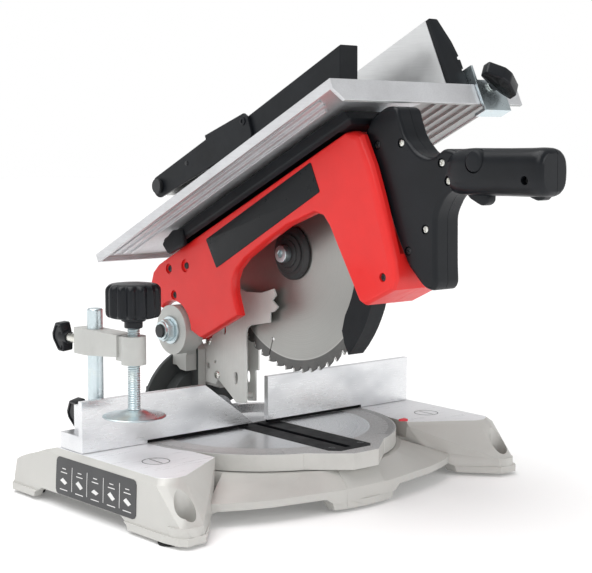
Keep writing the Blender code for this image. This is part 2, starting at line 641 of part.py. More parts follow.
# Top cover: the black tray between the arm and the upper table, slotted for the blade.
top_cover = loft("top_cover", [
    [(-44, -34, 66), (8.7, -34, 66), (8.7, -300, 66), (-44, -300, 66)],
    [(-48.5, -30, 69), (8.7, -30, 69), (8.7, -304, 69), (-48.5, -304, 69)],
    [(-48.5, -30, 77.5), (8.7, -30, 77.5), (8.7, -300, 77.5), (-48.5, -300, 77.5)],
    [(-46.5, -32, 79.3), (8.7, -32, 79.3), (8.7, -296, 79.3), (-46.5, -296, 79.3)]])
cut(top_cover, box("c", (-6.5, 6.5), (-252, -22), (50, 90)), box("c", (-44, -10), (-285, -45), (60, 76)))
put(top_cover, "black", HEAD, CHOP)

# Motor
flange = [(MOTOR_U + 36 * math.cos(math.radians(a)), MOTOR_V + 34 * math.sin(math.radians(a))) for a in range(60, 241, 20)] + [
    (BLADE_U + 36 * math.cos(math.radians(a)), BLADE_V + 36 * math.sin(math.radians(a))) for a in range(250, 416, 20)]
motor_housing = prism("motor_housing", "x", 30.3, 37, hp(flange))
join(motor_housing, rod("j", "x", (-MOTOR_U, MOTOR_V), 36, 112, 34, 40))
cut(
    motor_housing,
    rod("c", "x", (-MOTOR_U, MOTOR_V), 39, 115, 30.5, 36),
    rod("c", "x", (-MOTOR_U, MOTOR_V), 20, 45, 5.4, 20),
    rod("c", "x", (-BLADE_U, BLADE_V), 20, 35.4, 8.4, 20),
)
for i in range(10):
    a = math.radians(36 * i + 18)
    s = box("c", (41, 50), (-MOTOR_U + 26, -MOTOR_U + 41), (MOTOR_V - 2.2, MOTOR_V + 2.2))
    s.data.transform(Matrix.Translation(Vector((0, -MOTOR_U, MOTOR_V)) * MM) @ Matrix.Rotation(a, 4, "X") @ Matrix.Translation(Vector((0, MOTOR_U, -MOTOR_V)) * MM))
    cut(motor_housing, s)
put(motor_housing, "black", HEAD, CHOP)

end_cap = turned("motor_end_cap", "x", (-MOTOR_U, MOTOR_V), [
    (33.4, 112.3), (34, 113), (34, 122), (31.5, 130), (26, 135), (9, 137.5), (4.4, 137.5), (4.4, 126.5), (8.6, 126.5), (8.6, 119), (12, 119), (12, 130), (23, 129.5), (27.5, 126), (30, 121), (30, 112.3)][::-1], 24)
put(end_cap, "black", HEAD, CHOP)
stator = turned("motor_stator", "x", (-MOTOR_U, MOTOR_V), [(30.2, 52), (30.2, 92), (21.5, 92), (21.5, 52)], 24)
put(stator, "steel", HEAD, CHOP)
armature = rod("motor_armature", "x", (-MOTOR_U, MOTOR_V), 26, 126, 4, 16)
mesh_angle = math.degrees(math.atan2(MOTOR_V - BLADE_V, -(MOTOR_U - BLADE_U)))
pinion = prism("j", "x", 16, 27, gear_ring(PINION_T, PINION_PITCH_R - 1.9, PINION_PITCH_R + 1.0, 0.44, mesh_angle + 180 + 180 / PINION_T))
pinion.data.transform(Matrix.Translation(Vector((0, -MOTOR_U, MOTOR_V)) * MM))
join(armature, pinion, rod("j", "x", (-MOTOR_U, MOTOR_V), 53, 91, 20.6, 28), rod("j", "x", (-MOTOR_U, MOTOR_V), 98, 112, 12, 24))
put(armature, "copper", HEAD, MOTOR)
fan = rod("motor_fan", "x", (-MOTOR_U, MOTOR_V), 46, 48, 28, 28)
join(fan, rod("j", "x", (-MOTOR_U, MOTOR_V), 40.5, 47, 9, 20))
for i in range(8):
    vane = box("j", (41, 47), (-MOTOR_U + 7, -MOTOR_U + 27), (MOTOR_V - 1, MOTOR_V + 1))
    vane.data.transform(Matrix.Translation(Vector((0, -MOTOR_U, MOTOR_V)) * MM) @ Matrix.Rotation(math.radians(45 * i), 4, "X") @ Matrix.Translation(Vector((0, MOTOR_U, -MOTOR_V)) * MM))
    join(fan, vane)
cut(fan, rod("c", "x", (-MOTOR_U, MOTOR_V), 30, 60, 4.3, 16))
put(fan, "dark", HEAD, MOTOR)
inlet = turned("cord_inlet", "y", (100, 0), [(0, 9), (5, 9), (7.5, 6), (7.5, 0), (0, 0)], 20)
inlet.data.transform(Matrix.Rotation(math.radians(180), 4, "X"))
inlet.data.transform(Matrix.Translation(Vector((0, -MOTOR_U + 34.3, MOTOR_V)) * MM))
put(inlet, "rubber", HEAD, CHOP)

# Arbor, from the gear to the nut
spindle = turned("spindle", "x", (-BLADE_U, BLADE_V), [(0, 35), (8, 35), (8, 8.6), (9.9, 8.6), (9.9, -1.0), (4.3, -1.0), (4.3, 12), (0, 12)], 24)
put(spindle, "steel", HEAD, ARBOR)
bearing = turned("spindle_bearing", "x", (-BLADE_U, BLADE_V), [(8.3, 9.2), (15, 9.2), (15, 13.9), (8.3, 13.9)], 28)
put(bearing, "zinc", HEAD, CHOP)
gear = prism("drive_gear", "x", 16, 27, gear_ring(GEAR_T, GEAR_PITCH_R - 1.9, GEAR_PITCH_R + 1.0, 0.44, mesh_angle), [circle(0, 0, 8.3, 20)])
gear.data.transform(Matrix.Translation(Vector((0, -BLADE_U, BLADE_V)) * MM))
put(gear, "steel", HEAD, ARBOR)
teeth = []
for i in range(BLADE_TEETH):
    c = 360 / BLADE_TEETH * i
    for r, a in ((BLADE_D / 2 - 7.5, 0.0), (BLADE_D / 2 - 0.6, 4.3), (BLADE_D / 2, 6.2), (BLADE_D / 2 - 4.5, 6.6), (BLADE_D / 2 - 7.8, 6.9)):
        a = math.radians(c - a)
        teeth.append((r * math.cos(a), r * math.sin(a)))
teeth = teeth if area(teeth) > 0 else teeth[::-1]
teeth.sort(key=lambda p: math.atan2(p[1], p[0]))
blade = prism("saw_blade", "x", -1.2, 1.2, teeth, [circle(0, 0, 10.2, 24)])
for i in range(4):
    a = math.radians(90 * i + 37)
    slot = box("c", (-4, 4), (78, 110), (-0.9, 0.9))
    join(slot, rod("j", "x", (78, 0), -4, 4, 2.2, 12))
    slot.data.transform(Matrix.Rotation(a, 4, "X"))
    cut(blade, slot)
blade.data.transform(Matrix.Translation(Vector((0, -BLADE_U, BLADE_V)) * MM))
put(blade, "steel", HEAD, ARBOR)
inner = turned("inner_flange", "x", (-BLADE_U, BLADE_V), [(10.2, 1.5), (23, 1.5), (23, 4), (19, 6), (10.2, 6)], 32)
put(inner, "dark", HEAD, ARBOR)
outer = turned("outer_flange", "x", (-BLADE_U, BLADE_V), [(4.4, -1.5), (23.5, -1.5), (23.5, -3), (20, -5.8), (13, -6.2), (12, -9), (4.4, -9)][::-1], 36)
put(outer, "dark", HEAD, ARBOR)
arbor_bolt = rod("arbor_bolt", "x", (-BLADE_U, BLADE_V), -16, -9.3, 7.4, 20)
join(arbor_bolt, rod("j", "x", (-BLADE_U, BLADE_V), -10, 11.5, 4, 16))
cut(arbor_bolt, rod("c", "x", (-BLADE_U, BLADE_V), -20, -12, 3.5, 6))
put(arbor_bolt, "zinc", HEAD, ARBOR)

# Lower guard: a rim and two cheeks that turn about the arbor, shown drawn up into the leg.
G0, G1 = -70, -12
ring_out = arc(0, 0, 112.5, G0, G1, 12)
cheek = ring_out + arc(0, 0, 88.5, G1, -57, 8) + arc(0, 0, 93, -64.5, -65, 1) + arc(0, 0, 101.5, -68, -68.2, 1)
lower_guard = prism("lower_guard", "x", -8.5, 8.5, [(-a, b) for a, b in cheek])
cut(lower_guard, prism("c", "x", -6.5, 6.5, [(-a, b) for a, b in arc(0, 0, 110, G0 - 12, G1 + 12, 14) + [(0, 0)]]))
join(lower_guard, prism("j", "x", 6.7, 8.5, [(-a, b) for a, b in arc(0, 0, 23, -10, -58, 4) + arc(0, 0, 93, -46, -24, 4)]), rod("j", "x", (0, 0), 6.7, 8.5, 24, 28))
cut(lower_guard, rod("c", "x", (0, 0), 4, 12, 16, 24))
lower_guard.data.transform(Matrix.Translation(Vector((0, -BLADE_U, BLADE_V)) * MM))
put(lower_guard, "black", HEAD, LOWER)

# Riving knife behind the blade, which carries the upper guard
knife_ring = [(27, 40), (42, 40), (43, 60), (60, 95), (76, 128), (74, 136), (16, 152), (-8, 152), (-9, 138), (6, 132), (20, 100), (26, 66)]
knife = prism("riving_knife", "x", -1, 1, hp(knife_ring), [hp(circle(-0.5, 144.5, 4.4, 16)), hp(circle(36, 50, 2.6, 12))])
put(knife, "steel", HEAD, CHOP)
guard_bolt = rod("guard_pivot_bolt", "x", (0.5, 144.5), -17, 4, 4, 16)
join(guard_bolt, rod("j", "x", (0.5, 144.5), -17.5, -14, 7, 20), rod("j", "x", (0.5, 144.5), 2, 6, 7, 6))
put(guard_bolt, "dark", HEAD, CHOP)

# Handle: two half shells with the grip; it is level when the head is raised.
plate = rounded([(297, 60), (305, 64.5), (310, 68), (328, 68.5), (338.5, 62.5), (337, 50.5), (337, 37.5), (343, 22.3), (350, 15.5), (357, 11.8),
                 (369, 13.6), (375.6, 10), (382.3, 3), (379, -9.8), (370.4, -16.4), (353.7, -19.6), (342, -28.2), (334, -46),
                 (326.7, -62.5), (321.5, -76), (316, -79.5), (308, -74), (299.5, -54), (297, -30)], 4, 2)
HANDLE_X = -20.0                  # middle of the grip
GRIP = ((360, -1.2), (449.5, -41.8))
ga = math.atan2(GRIP[1][1] - GRIP[0][1], GRIP[1][0] - GRIP[0][0])


def grip_ring(t, ry, rx, n=20):
    """A rounded section across the grip."""
    cu, cv = (GRIP[0][i] + (GRIP[1][i] - GRIP[0][i]) * t for i in (0, 1))
    ring = []
    for i in range(n):
        a = 2 * math.pi * i / n
        s, c = math.sin(a), math.cos(a)
        sx, sy = abs(c) ** 0.75 * (1 if c > 0 else -1), abs(s) ** 0.75 * (1 if s > 0 else -1)
        ring.append((HANDLE_X + rx * sx, -(cu - math.sin(ga) * ry * sy), cv + math.cos(ga) * ry * sy))
    return ring


handle = prism("handle", "x", -31, -4, hp(plate))
join(handle, loft("j", [grip_ring(t, ry, rx) for t, ry, rx in
                        ((0.0, 13, 8), (0.12, 16, 13.5), (0.26, 17.5, 16), (0.6, 17.2, 16.5), (0.9, 17.6, 16.5), (0.98, 16, 14.5), (1.0, 13.5, 12))]))
room = box("c", (-28, -14), (-370, -346), (-10, 8))                   # for the switch
join(room, box("c", (-25.5, -14.5), (-394, -367), (-60, -8)))         # and the trigger's slot below it
cut(handle, room)
half = handle.copy()
half.data = handle.data.copy()
PARTS.objects.link(half)
half.name = "handle_right"
handle.name = "handle_left"
cut(handle, box("c", (-17.65, 60), (-600, 0), (-200, 200)))
cut(half, box("c", (-60, -17.35), (-600, 0), (-200, 200)), box("c", (-10.4, 60), (-306, 0), (-200, 200)))
SCREWS = ((331.3, 35.6), (363.5, 4.5), (364.2, -10.5), (327.9, -34.2), (306.8, 45.4), (304.6, -42.4))
cut(handle, *[rod("c", "x", (-u, v), -40, -29, 3.2, 16) for u, v in SCREWS])
cut(handle, rod("c", "x", (-397, -9.5), -50, -26.2, 8.6, 24), rod("c", "x", (-434.6, -41), -50, -32, 3.2, 12))
put(handle, "black", HEAD, CHOP)
put(half, "black", HEAD, CHOP)
switch = box("power_switch", (-27.6, -14.4), (-366.5, -346.5), (-9.6, 7.6), 1)
put(switch, "dark", HEAD, CHOP)
trigger = prism("trigger", "x", -25, -15, hp(rounded([(372, -17), (390, -20), (391, -32), (388, -38), (382, -38.5), (377, -33), (372, -27)], 2, 2)))
put(trigger, "black", HEAD, TRIGGER)
button = turned("lock_button", "x", (-397, -9.5), [(0, -37), (6.4, -37), (8.2, -35.8), (8.2, -28.6), (0, -28.6)][::-1], 24)
put(button, "black", HEAD, LOCK)

# Upper table: a ribbed tray with a deep front rim, on two posts that slide in the right housing.
table = box("upper_table", (TOP_X0, TOP_X1), (-TOP_U1, -TOP_U0), (TOP_V - 4, TOP_V))
rim = [
    box("j", (TOP_X0, TOP_X0 + 3), (-TOP_U1, -TOP_U0), (TOP_V - 8, TOP_V - 3)),
    box("j", (TOP_X1 - 3, TOP_X1), (-TOP_U1, -TOP_U0), (TOP_V - 5.5, TOP_V - 3)),
    box("j", (TOP_X0, TOP_X1 - 20), (-TOP_U0 - 3, -TOP_U0), (TOP_V - 8, TOP_V - 3)),
    box("j", (TOP_X0, TOP_X1), (-TOP_U1, -TOP_U1 + 3), (TOP_V - 17.8, TOP_V - 3)),
]
join(table, *rim)
for x, end in ((-75.5, 306), (-66, 300), (-56.5, 290), (50, 318), (64, 318), (78, 318), (92, 318), (106, 318)):
    join(table, box("j", (x - 1.6, x + 1.6), (-end, 12), (TOP_V - 6.5, TOP_V - 3.5)))
cut(table, box("c", (-6.5, 6.5), (-255, -12), (60, 120)))
cut(table, prism("c", "y", -345, -325, [(TOP_X0 - 2, TOP_V - 20), (TOP_X0 - 2, TOP_V - 6.5), (TOP_X0 + 11, TOP_V - 20)]))
put(table, "alloy", HEAD, LIFT)
for name, u in (("table_post_rear", 60), ("table_post_front", 270)):
    put(rod(name, "z", (19.5, -u), 24, TOP_V - 4.3, 6, 20), "zinc", HEAD, LIFT)
lock = wing_knob("table_lock_knob", "x", (-262, 45), 40, 52, (26.2, 42), 15)
put(lock, "black", HEAD, TABLE_KNOB)

# Rip fence: a hollow alloy profile with a plastic nose, clamped to the front rim.
RX = 50.0
section = [(RX, TOP_V + 0.6), (RX, TOP_V + 62), (RX + 10, TOP_V + 62), (RX + 16, TOP_V + 36), (RX + 22, TOP_V + 14), (RX + 22, TOP_V + 0.6)]
rip = prism("rip_fence", "y", -324, 4, section)
cut(
    rip,
    prism("c", "y", -330, 20, [(RX + 2.5, TOP_V + 3), (RX + 2.5, TOP_V + 28), (RX + 15.4, TOP_V + 28), (RX + 19, TOP_V + 13.5), (RX + 19, TOP_V + 3)]),
    prism("c", "y", -330, 20, [(RX + 2.5, TOP_V + 31), (RX + 2.5, TOP_V + 59.5), (RX + 8, TOP_V + 59.5), (RX + 13.6, TOP_V + 35.5), (RX + 14.6, TOP_V + 31)]),
)
put(rip, "alloy", HEAD, RIP)
nose_plan = [(RX, TOP_V + 0.6), (RX, TOP_V + 62), (RX + 10, TOP_V + 62), (RX + 18.6, TOP_V + 41.5), (RX + 21.2, TOP_V + 29.5), (RX + 22, TOP_V + 23.5), (RX + 22, TOP_V + 0.6)]
rip_end = prism("rip_fence_nose", "y", -328.5, -324.3, nose_plan)
put(rip_end, "black", HEAD, RIP)
strap = prism("rip_fence_bracket", "x", RX + 22.3, RX + 54, [
    (-290, TOP_V + 0.6), (-290, TOP_V + 3), (-336.4, TOP_V + 3), (-336.4, TOP_V - 24.5), (-324, TOP_V - 24.5), (-324, TOP_V - 22), (-334, TOP_V - 22), (-334, TOP_V + 0.6)])
join(strap, box("j", (RX + 22.3, RX + 24.6), (-336.4, -290), (TOP_V + 0.6, TOP_V + 16)))
cut(strap, rod("c", "y", (RIP_KNOB_X, RIP_KNOB_V), -345, -330, 3.9 + GAP, 16))
put(strap, "zinc", HEAD, RIP)
rip_knob = wing_knob("rip_fence_knob", "y", (RIP_KNOB_X, RIP_KNOB_V), -357, -345, (-350, -334.2), 12.5, 10)
put(rip_knob, "black", HEAD, RIP_KNOB)

# Upper guard: a channel over the blade, hung on a lever from the riving knife.
GB, GT = TOP_V + 24, TOP_V + 60
guard = prism("upper_guard", "x", -10, 10, hp([(74, GB), (265, GB), (281.5, GT), (110, GT), (74, GT - 2)]))
cut(guard, prism("c", "x", -8, 8, hp([(60, GB - 5), (260.5, GB - 5), (278.5, GT - 2.2), (110, GT - 2.2), (60, GT - 5)])))
put(guard, "black", HEAD, OVER)
arm = prism("guard_lever", "x", -13.2, -10.3, hp(
    arc(-0.5, 144.5, 11, 250, 110, 8) + [(86, TOP_V + 66), (86, TOP_V + 70), (146, TOP_V + 63.5), (150, TOP_V + 58), (149, TOP_V + 42), (144, TOP_V + 36), (30, TOP_V + 44)]),
    [hp(circle(-0.5, 144.5, 4.4, 16))])
put(arm, "black", HEAD, OVER)

# ================================================================ hold-down clamp
clamp = prism("clamp_arm", "x", POST_X - 9, POST_X + 9, [(37, 127), (37, 149), (-28, 149), (-28, 131), (20, 127)])
join(clamp, rod("j", "z", (POST_X, CLAMP_Y), 126, 149, 10, 24), box("j", (POST_X - 7, POST_X + 7), (-40, -24), (128, 148)))
cut(clamp, rod("c", "z", (POST_X, POST_Y), 110, 160, 6.8, 24), rod("c", "z", (POST_X, CLAMP_Y), 110, 160, 5.5, 20), rod("c", "y", (POST_X, 137), 22, 40, 4.3, 16))
put(clamp, "cast", WORLD, CLAMP)
put(wing_knob("clamp_wing_screw", "y", (POST_X, 137), 62, 80, (25.4, 64), 8.5, 12.5), "black", WORLD, CLAMP_WING)
screw = rod("clamp_screw", "z", (POST_X, CLAMP_Y), 89.3, 163.6, 5.2, 20)
join(screw, rod("j", "z", (POST_X, CLAMP_Y), 85, 90, 3, 12))
put(screw, "zinc", WORLD, CLAMP_SCREW)
flutes = [(POST_X + (21.4 + 1.1 * math.cos(14 * a)) * math.cos(a), CLAMP_Y + (21.4 + 1.1 * math.cos(14 * a)) * math.sin(a)) for a in (2 * math.pi * i / 84 for i in range(84))]
knob = prism("clamp_knob", "z", 164, 190.5, flutes)
join(knob, rod("j", "z", (POST_X, CLAMP_Y), 155.5, 165, 7.4, 24), rod("j", "z", (POST_X, CLAMP_Y), 190, 192, 19, 28, 16))
cut(knob, rod("c", "z", (POST_X, CLAMP_Y), 150, 163.9, 5.5, 20))
put(knob, "black", WORLD, CLAMP_SCREW)
pad = turned("clamp_pad", "z", (POST_X, CLAMP_Y), [(3.3, 89), (8, 89), (13, 87.4), (17, 86), (25.6, 84.6), (25.8, 83.6), (24.6, 83), (3.3, 83)], 28)
put(pad, "zinc", WORLD, CLAMP_SCREW)
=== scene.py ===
"""Looks of a combination mitre saw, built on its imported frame.

Pieces are drawn in millimetres: in the stand's own frame (mitre axis at x = y = 0, the
fence's front at y = 0) or in the head's (x, -u, v), and are then put where the frame is.
"""

import json
import math

import bmesh
import bpy
from mathutils import Matrix, Vector
from mathutils.bvhtree import BVHTree

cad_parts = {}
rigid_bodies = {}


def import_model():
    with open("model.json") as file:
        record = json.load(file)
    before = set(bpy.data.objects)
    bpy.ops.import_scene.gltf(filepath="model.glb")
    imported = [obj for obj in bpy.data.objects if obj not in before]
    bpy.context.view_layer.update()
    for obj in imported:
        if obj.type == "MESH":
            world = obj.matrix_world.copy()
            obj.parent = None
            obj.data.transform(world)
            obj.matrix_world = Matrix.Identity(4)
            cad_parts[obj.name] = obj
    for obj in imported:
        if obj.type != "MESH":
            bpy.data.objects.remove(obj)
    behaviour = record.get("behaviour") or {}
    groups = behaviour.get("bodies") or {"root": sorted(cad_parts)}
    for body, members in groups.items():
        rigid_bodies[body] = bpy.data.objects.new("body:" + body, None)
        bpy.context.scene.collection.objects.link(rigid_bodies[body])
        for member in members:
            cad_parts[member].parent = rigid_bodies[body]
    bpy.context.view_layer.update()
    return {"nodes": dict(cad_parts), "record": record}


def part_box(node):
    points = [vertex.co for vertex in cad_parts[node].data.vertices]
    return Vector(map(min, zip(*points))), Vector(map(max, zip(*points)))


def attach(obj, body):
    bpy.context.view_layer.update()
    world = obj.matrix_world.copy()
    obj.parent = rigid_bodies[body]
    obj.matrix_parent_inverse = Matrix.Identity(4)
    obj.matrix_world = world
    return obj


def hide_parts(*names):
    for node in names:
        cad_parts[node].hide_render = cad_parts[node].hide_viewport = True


for old in list(bpy.data.objects):
    bpy.data.objects.remove(old, do_unlink=True)

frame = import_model()
NODES = frame["nodes"]
BODY_OF = {n: b for b, ns in frame["record"]["behaviour"]["bodies"].items() for n in ns}
MM = 0.001
TILT = math.radians(25.1)
low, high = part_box("fence")
STAND = Matrix.Translation((low.x + 0.189, low.y, low.z - 0.0489))
HEAD = STAND @ Matrix.Translation((0, 0.078, 0.131)) @ Matrix.Rotation(-TILT, 4, "X")
ARBOR = (144.5, 17.2)


# ---------------------------------------------------------------- materials
class Look:
    """A node material, and short ways to the few nodes these surfaces use."""

    def __init__(self, name, rough=0.5, metal=0.0, spec=0.5, coat=0.0, coat_rough=0.15):
        self.m = bpy.data.materials.new(name)
        self.m.use_nodes = True
        self.t = self.m.node_tree
        self.p = self.t.nodes["Principled BSDF"]
        self.p.inputs["Metallic"].default_value = metal
        self.p.inputs["Roughness"].default_value = rough
        self.p.inputs["Specular IOR Level"].default_value = spec
        self.p.inputs["Coat Weight"].default_value = coat
        self.p.inputs["Coat Roughness"].default_value = coat_rough
        self.at = self.t.nodes.new("ShaderNodeTexCoord").outputs["Object"]

    def put(self, socket, value):
        if isinstance(value, bpy.types.NodeSocket):
            self.t.links.new(value, socket)
        elif isinstance(value, tuple) and len(value) == 3 and socket.type == "RGBA":
            socket.default_value = (*value, 1)
        else:
            socket.default_value = value

    def to(self, name, value):
        self.put(self.p.inputs[name], value)
        return self

    def stretched(self, scale, shift=(0, 0, 0), turn=(0, 0, 0)):
        n = self.t.nodes.new("ShaderNodeMapping")
        self.put(n.inputs["Vector"], self.at)
        n.inputs["Scale"].default_value = scale
        n.inputs["Location"].default_value = shift
        n.inputs["Rotation"].default_value = turn
        return n.outputs["Vector"]

    def noise(self, scale, detail=2.0, rough=0.5, at=None, twist=0.0):
        n = self.t.nodes.new("ShaderNodeTexNoise")
        self.put(n.inputs["Vector"], at or self.at)
        n.inputs["Scale"].default_value = scale
        n.inputs["Detail"].default_value = detail
        n.inputs["Roughness"].default_value = rough
        n.inputs["Distortion"].default_value = twist
        return n.outputs["Fac"]

    def cells(self, scale, at=None):
        n = self.t.nodes.new("ShaderNodeTexVoronoi")
        self.put(n.inputs["Vector"], at or self.at)
        n.inputs["Scale"].default_value = scale
        return n.outputs["Distance"]

    def ramp(self, fac, *stops, step=False):
        n = self.t.nodes.new("ShaderNodeValToRGB")
        self.put(n.inputs["Fac"], fac)
        n.color_ramp.interpolation = "CONSTANT" if step else "LINEAR"
        while len(n.color_ramp.elements) < len(stops):
            n.color_ramp.elements.new(0.5)
        for e, (where, colour) in zip(n.color_ramp.elements, stops):
            e.position = where
            e.color = (*colour, 1) if isinstance(colour, tuple) else (colour, colour, colour, 1)
        return n.outputs["Color"]

    def span(self, fac, a, b, c, d, clamp=True):
        n = self.t.nodes.new("ShaderNodeMapRange")
        self.put(n.inputs["Value"], fac)
        for name, v in (("From Min", a), ("From Max", b), ("To Min", c), ("To Max", d)):
            n.inputs[name].default_value = v
        n.clamp = clamp
        return n.outputs["Result"]

    def math(self, op, a, b=0.0):
        n = self.t.nodes.new("ShaderNodeMath")
        n.operation = op
        self.put(n.inputs[0], a)
        self.put(n.inputs[1], b)
        return n.outputs[0]

    def mix(self, fac, a, b, blend="MIX"):
        n = self.t.nodes.new("ShaderNodeMix")
        n.data_type = "RGBA"
        n.blend_type = blend
        self.put(n.inputs[0], fac)
        self.put(n.inputs[6], a)
        self.put(n.inputs[7], b)
        return n.outputs[2]

    def blend(self, fac, a, b):
        n = self.t.nodes.new("ShaderNodeMix")
        n.data_type = "FLOAT"
        self.put(n.inputs[0], fac)
        self.put(n.inputs[2], a)
        self.put(n.inputs[3], b)
        return n.outputs[0]

    def part(self, i):
        n = self.t.nodes.new("ShaderNodeSeparateXYZ")
        self.put(n.inputs[0], self.at)
        return n.outputs[i]

    def distance(self, centre, drop):
        """Distance from an axis through a point; drop is the axis' direction."""
        n = self.t.nodes.new("ShaderNodeVectorMath")
        n.operation = "SUBTRACT"
        self.put(n.inputs[0], self.at)
        n.inputs[1].default_value = centre
        k = self.t.nodes.new("ShaderNodeVectorMath")
        k.operation = "MULTIPLY"
        self.put(k.inputs[0], n.outputs[0])
        k.inputs[1].default_value = tuple(0.0 if i == drop else 1.0 for i in range(3))
        d = self.t.nodes.new("ShaderNodeVectorMath")
        d.operation = "LENGTH"
        self.put(d.inputs[0], k.outputs[0])
        return d.outputs["Value"]

    def bump(self, height, depth, strength=1.0, over=None):
        n = self.t.nodes.new("ShaderNodeBump")
        self.put(n.inputs["Height"], height)
        n.inputs["Distance"].default_value = depth
        n.inputs["Strength"].default_value = strength
        if over is not None:
            self.put(n.inputs["Normal"], over)
        self.put(self.p.inputs["Normal"], n.outputs[0])
        return n.outputs[0]


def shade(c, k):
    return tuple(min(1.0, x * k) for x in c)


def plastic(name, colour, rough, grain=1400, depth=0.00006, vary=0.10, spec=0.5, coat=0.0, scratch=0.0):
    k = Look(name, rough, 0.0, spec, coat)
    big = k.noise(26, 4, 0.6)
    fine = k.noise(grain, 3, 0.6)
    body = k.ramp(big, (0.3, shade(colour, 1 - vary)), (0.72, shade(colour, 1 + vary)))
    if scratch:
        rub = k.noise(70, 6, 0.75, k.stretched((1, 0.16, 1.4), turn=(0.5, 0, 0)))
        body = k.mix(k.span(rub, 0.66, 0.74, 0, scratch), body, shade(colour, 1.5))
    k.to("Base Color", body)
    k.to("Roughness", k.span(k.noise(90, 5, 0.65), 0.25, 0.75, rough - 0.06, rough + 0.09))
    k.bump(k.math("ADD", fine, k.math("MULTIPLY", big, 0.7)), depth, 0.55)
    return k.m


def painted(name, colour, rough, metal=0.15, depth=0.00012):
    """Sprayed paint over a casting: orange peel, sand grain and a little grime."""
    k = Look(name, rough, metal, 0.5)
    peel, sand, dirt = k.noise(420, 3, 0.5), k.noise(1900, 2, 0.5), k.noise(16, 5, 0.62)
    body = k.ramp(dirt, (0.28, shade(colour, 0.87)), (0.5, colour), (0.75, shade(colour, 1.06)))
    body = k.mix(k.span(sand, 0.62, 0.75, 0, 0.22), body, shade(colour, 1.25))
    k.to("Base Color", body)
    k.to("Roughness", k.span(k.noise(60, 4, 0.6), 0.3, 0.7, rough - 0.07, rough + 0.08))
    k.bump(k.math("ADD", peel, k.math("MULTIPLY", sand, 0.6)), depth, 0.5)
    return k.m


def metal(name, colour, rough, along=None, depth=0.00002, tint=None, grime=0.12, metallic=1.0):
    """Bare metal, with a grain along one direction if it was brushed or drawn."""
    k = Look(name, rough, metallic, 0.5)
    cloud = k.noise(34, 5, 0.6)
    body = k.ramp(cloud, (0.25, shade(colour, 1 - grime)), (0.55, colour), (0.8, tint or shade(colour, 1.08)))
    scale = {"x": (0.02, 1, 1), "y": (1, 0.02, 1), "z": (1, 1, 0.02), None: (1, 1, 1)}[along]
    line = k.noise(1500 if along else 700, 3, 0.6, k.stretched(scale))
    k.to("Base Color", k.mix(k.span(line, 0.35, 0.7, 0.0, 0.22), body, shade(colour, 0.72)))
    k.to("Roughness", k.math("ADD", k.span(line, 0.3, 0.7, rough - 0.06, rough + 0.08), k.span(cloud, 0.3, 0.7, -0.04, 0.06)))
    k.bump(line, depth, 0.5)
    return k.m


GREY = (0.552, 0.547, 0.522)
SILVER = (0.66, 0.668, 0.685)
LOOK = {
    "cast": painted("cast_grey", (0.50, 0.505, 0.485), 0.46, 0.2),
    "red": plastic("red_plastic", (0.75, 0.0195, 0.0175), 0.34, 900, 0.00003, 0.05, 0.34, 0.14),
    "black": plastic("black_plastic", (0.0078, 0.0094, 0.0118), 0.42, 1500, 0.00007, 0.25, 0.22),
    "satin": plastic("black_satin", (0.0062, 0.0075, 0.0098), 0.32, 1700, 0.00004, 0.25, 0.22, 0.06),
    "insert": plastic("black_insert", (0.006, 0.0068, 0.0082), 0.5, 800, 0.00006, 0.3, 0.09),
    "rubber": plastic("rubber", (0.012, 0.012, 0.012), 0.8, 500, 0.0002, 0.2, 0.3),
    "pointer": plastic("pointer_red", (0.80, 0.05, 0.07), 0.4),
    "zinc": metal("zinc_plate", (0.66, 0.75, 0.78), 0.32, None, 0.00002, (0.80, 0.80, 0.72)),
    "plate": metal("steel_plate", (0.76, 0.77, 0.745), 0.46, "z", 0.00002, None, 0.08, 0.35),
    "steel": metal("bare_steel", (0.56, 0.56, 0.55), 0.3, "y"),
    "dark": metal("blackened_steel", (0.045, 0.047, 0.050), 0.42, None, 0.00004, None, 0.2, 0.6),
    "flange": plastic("flange_black", (0.022, 0.022, 0.023), 0.5, 700, 0.00012, 0.3),
    "alloy": metal("extruded_alloy", (0.76, 0.77, 0.775), 0.36, "y", 0.00003, None, 0.06, 0.85),
    "rim": metal("silver_rim", (0.83, 0.845, 0.875), 0.32, "x", 0.00003, None, 0.04, 0.75),
    "copper": metal("copper", (0.62, 0.28, 0.13), 0.35, "x"),
    "screw": metal("screw_zinc", (0.78, 0.78, 0.74), 0.25, None, 0.00002, (0.84, 0.80, 0.66)),
    "panel": plastic("panel_black", (0.0085, 0.0098, 0.0115), 0.3, 1200, 0.00002, 0.12, 0.22),
    "chart": plastic("chart_grey", (0.045, 0.046, 0.048), 0.34, 900, 0.00002, 0.1),
    "ink": plastic("chart_white", (0.78, 0.78, 0.77), 0.5, 1200, 0.00002, 0.05),
    "mark": plastic("engraved_grey", (0.20, 0.205, 0.21), 0.5, 1500, 0.00004, 0.15),
    "groove": plastic("groove_black", (0.010, 0.010, 0.011), 0.6, 900, 0.00005, 0.2),
    "quadrant": painted("quadrant_grey", (0.055, 0.060, 0.060), 0.5, 0.1),
    # Darker grey for the right half of the upper table's underside: painted shade, not a different finish.
    "under": painted("shaded_underside_grey", (0.40, 0.425, 0.42), 0.6, 0.05),
    "milled": metal("milled_alloy", (0.62, 0.63, 0.64), 0.33, "y", 0.00003, None, 0.06, 0.95),
    # Painted shadow: the black of the gap under the fence.
    "shadow": plastic("painted_gap_shadow", (0.006, 0.006, 0.007), 0.7, 900, 0.00004, 0.2, 0.1),
    "carbide": metal("carbide", (0.50, 0.50, 0.49), 0.26, None, 0.00002),
}


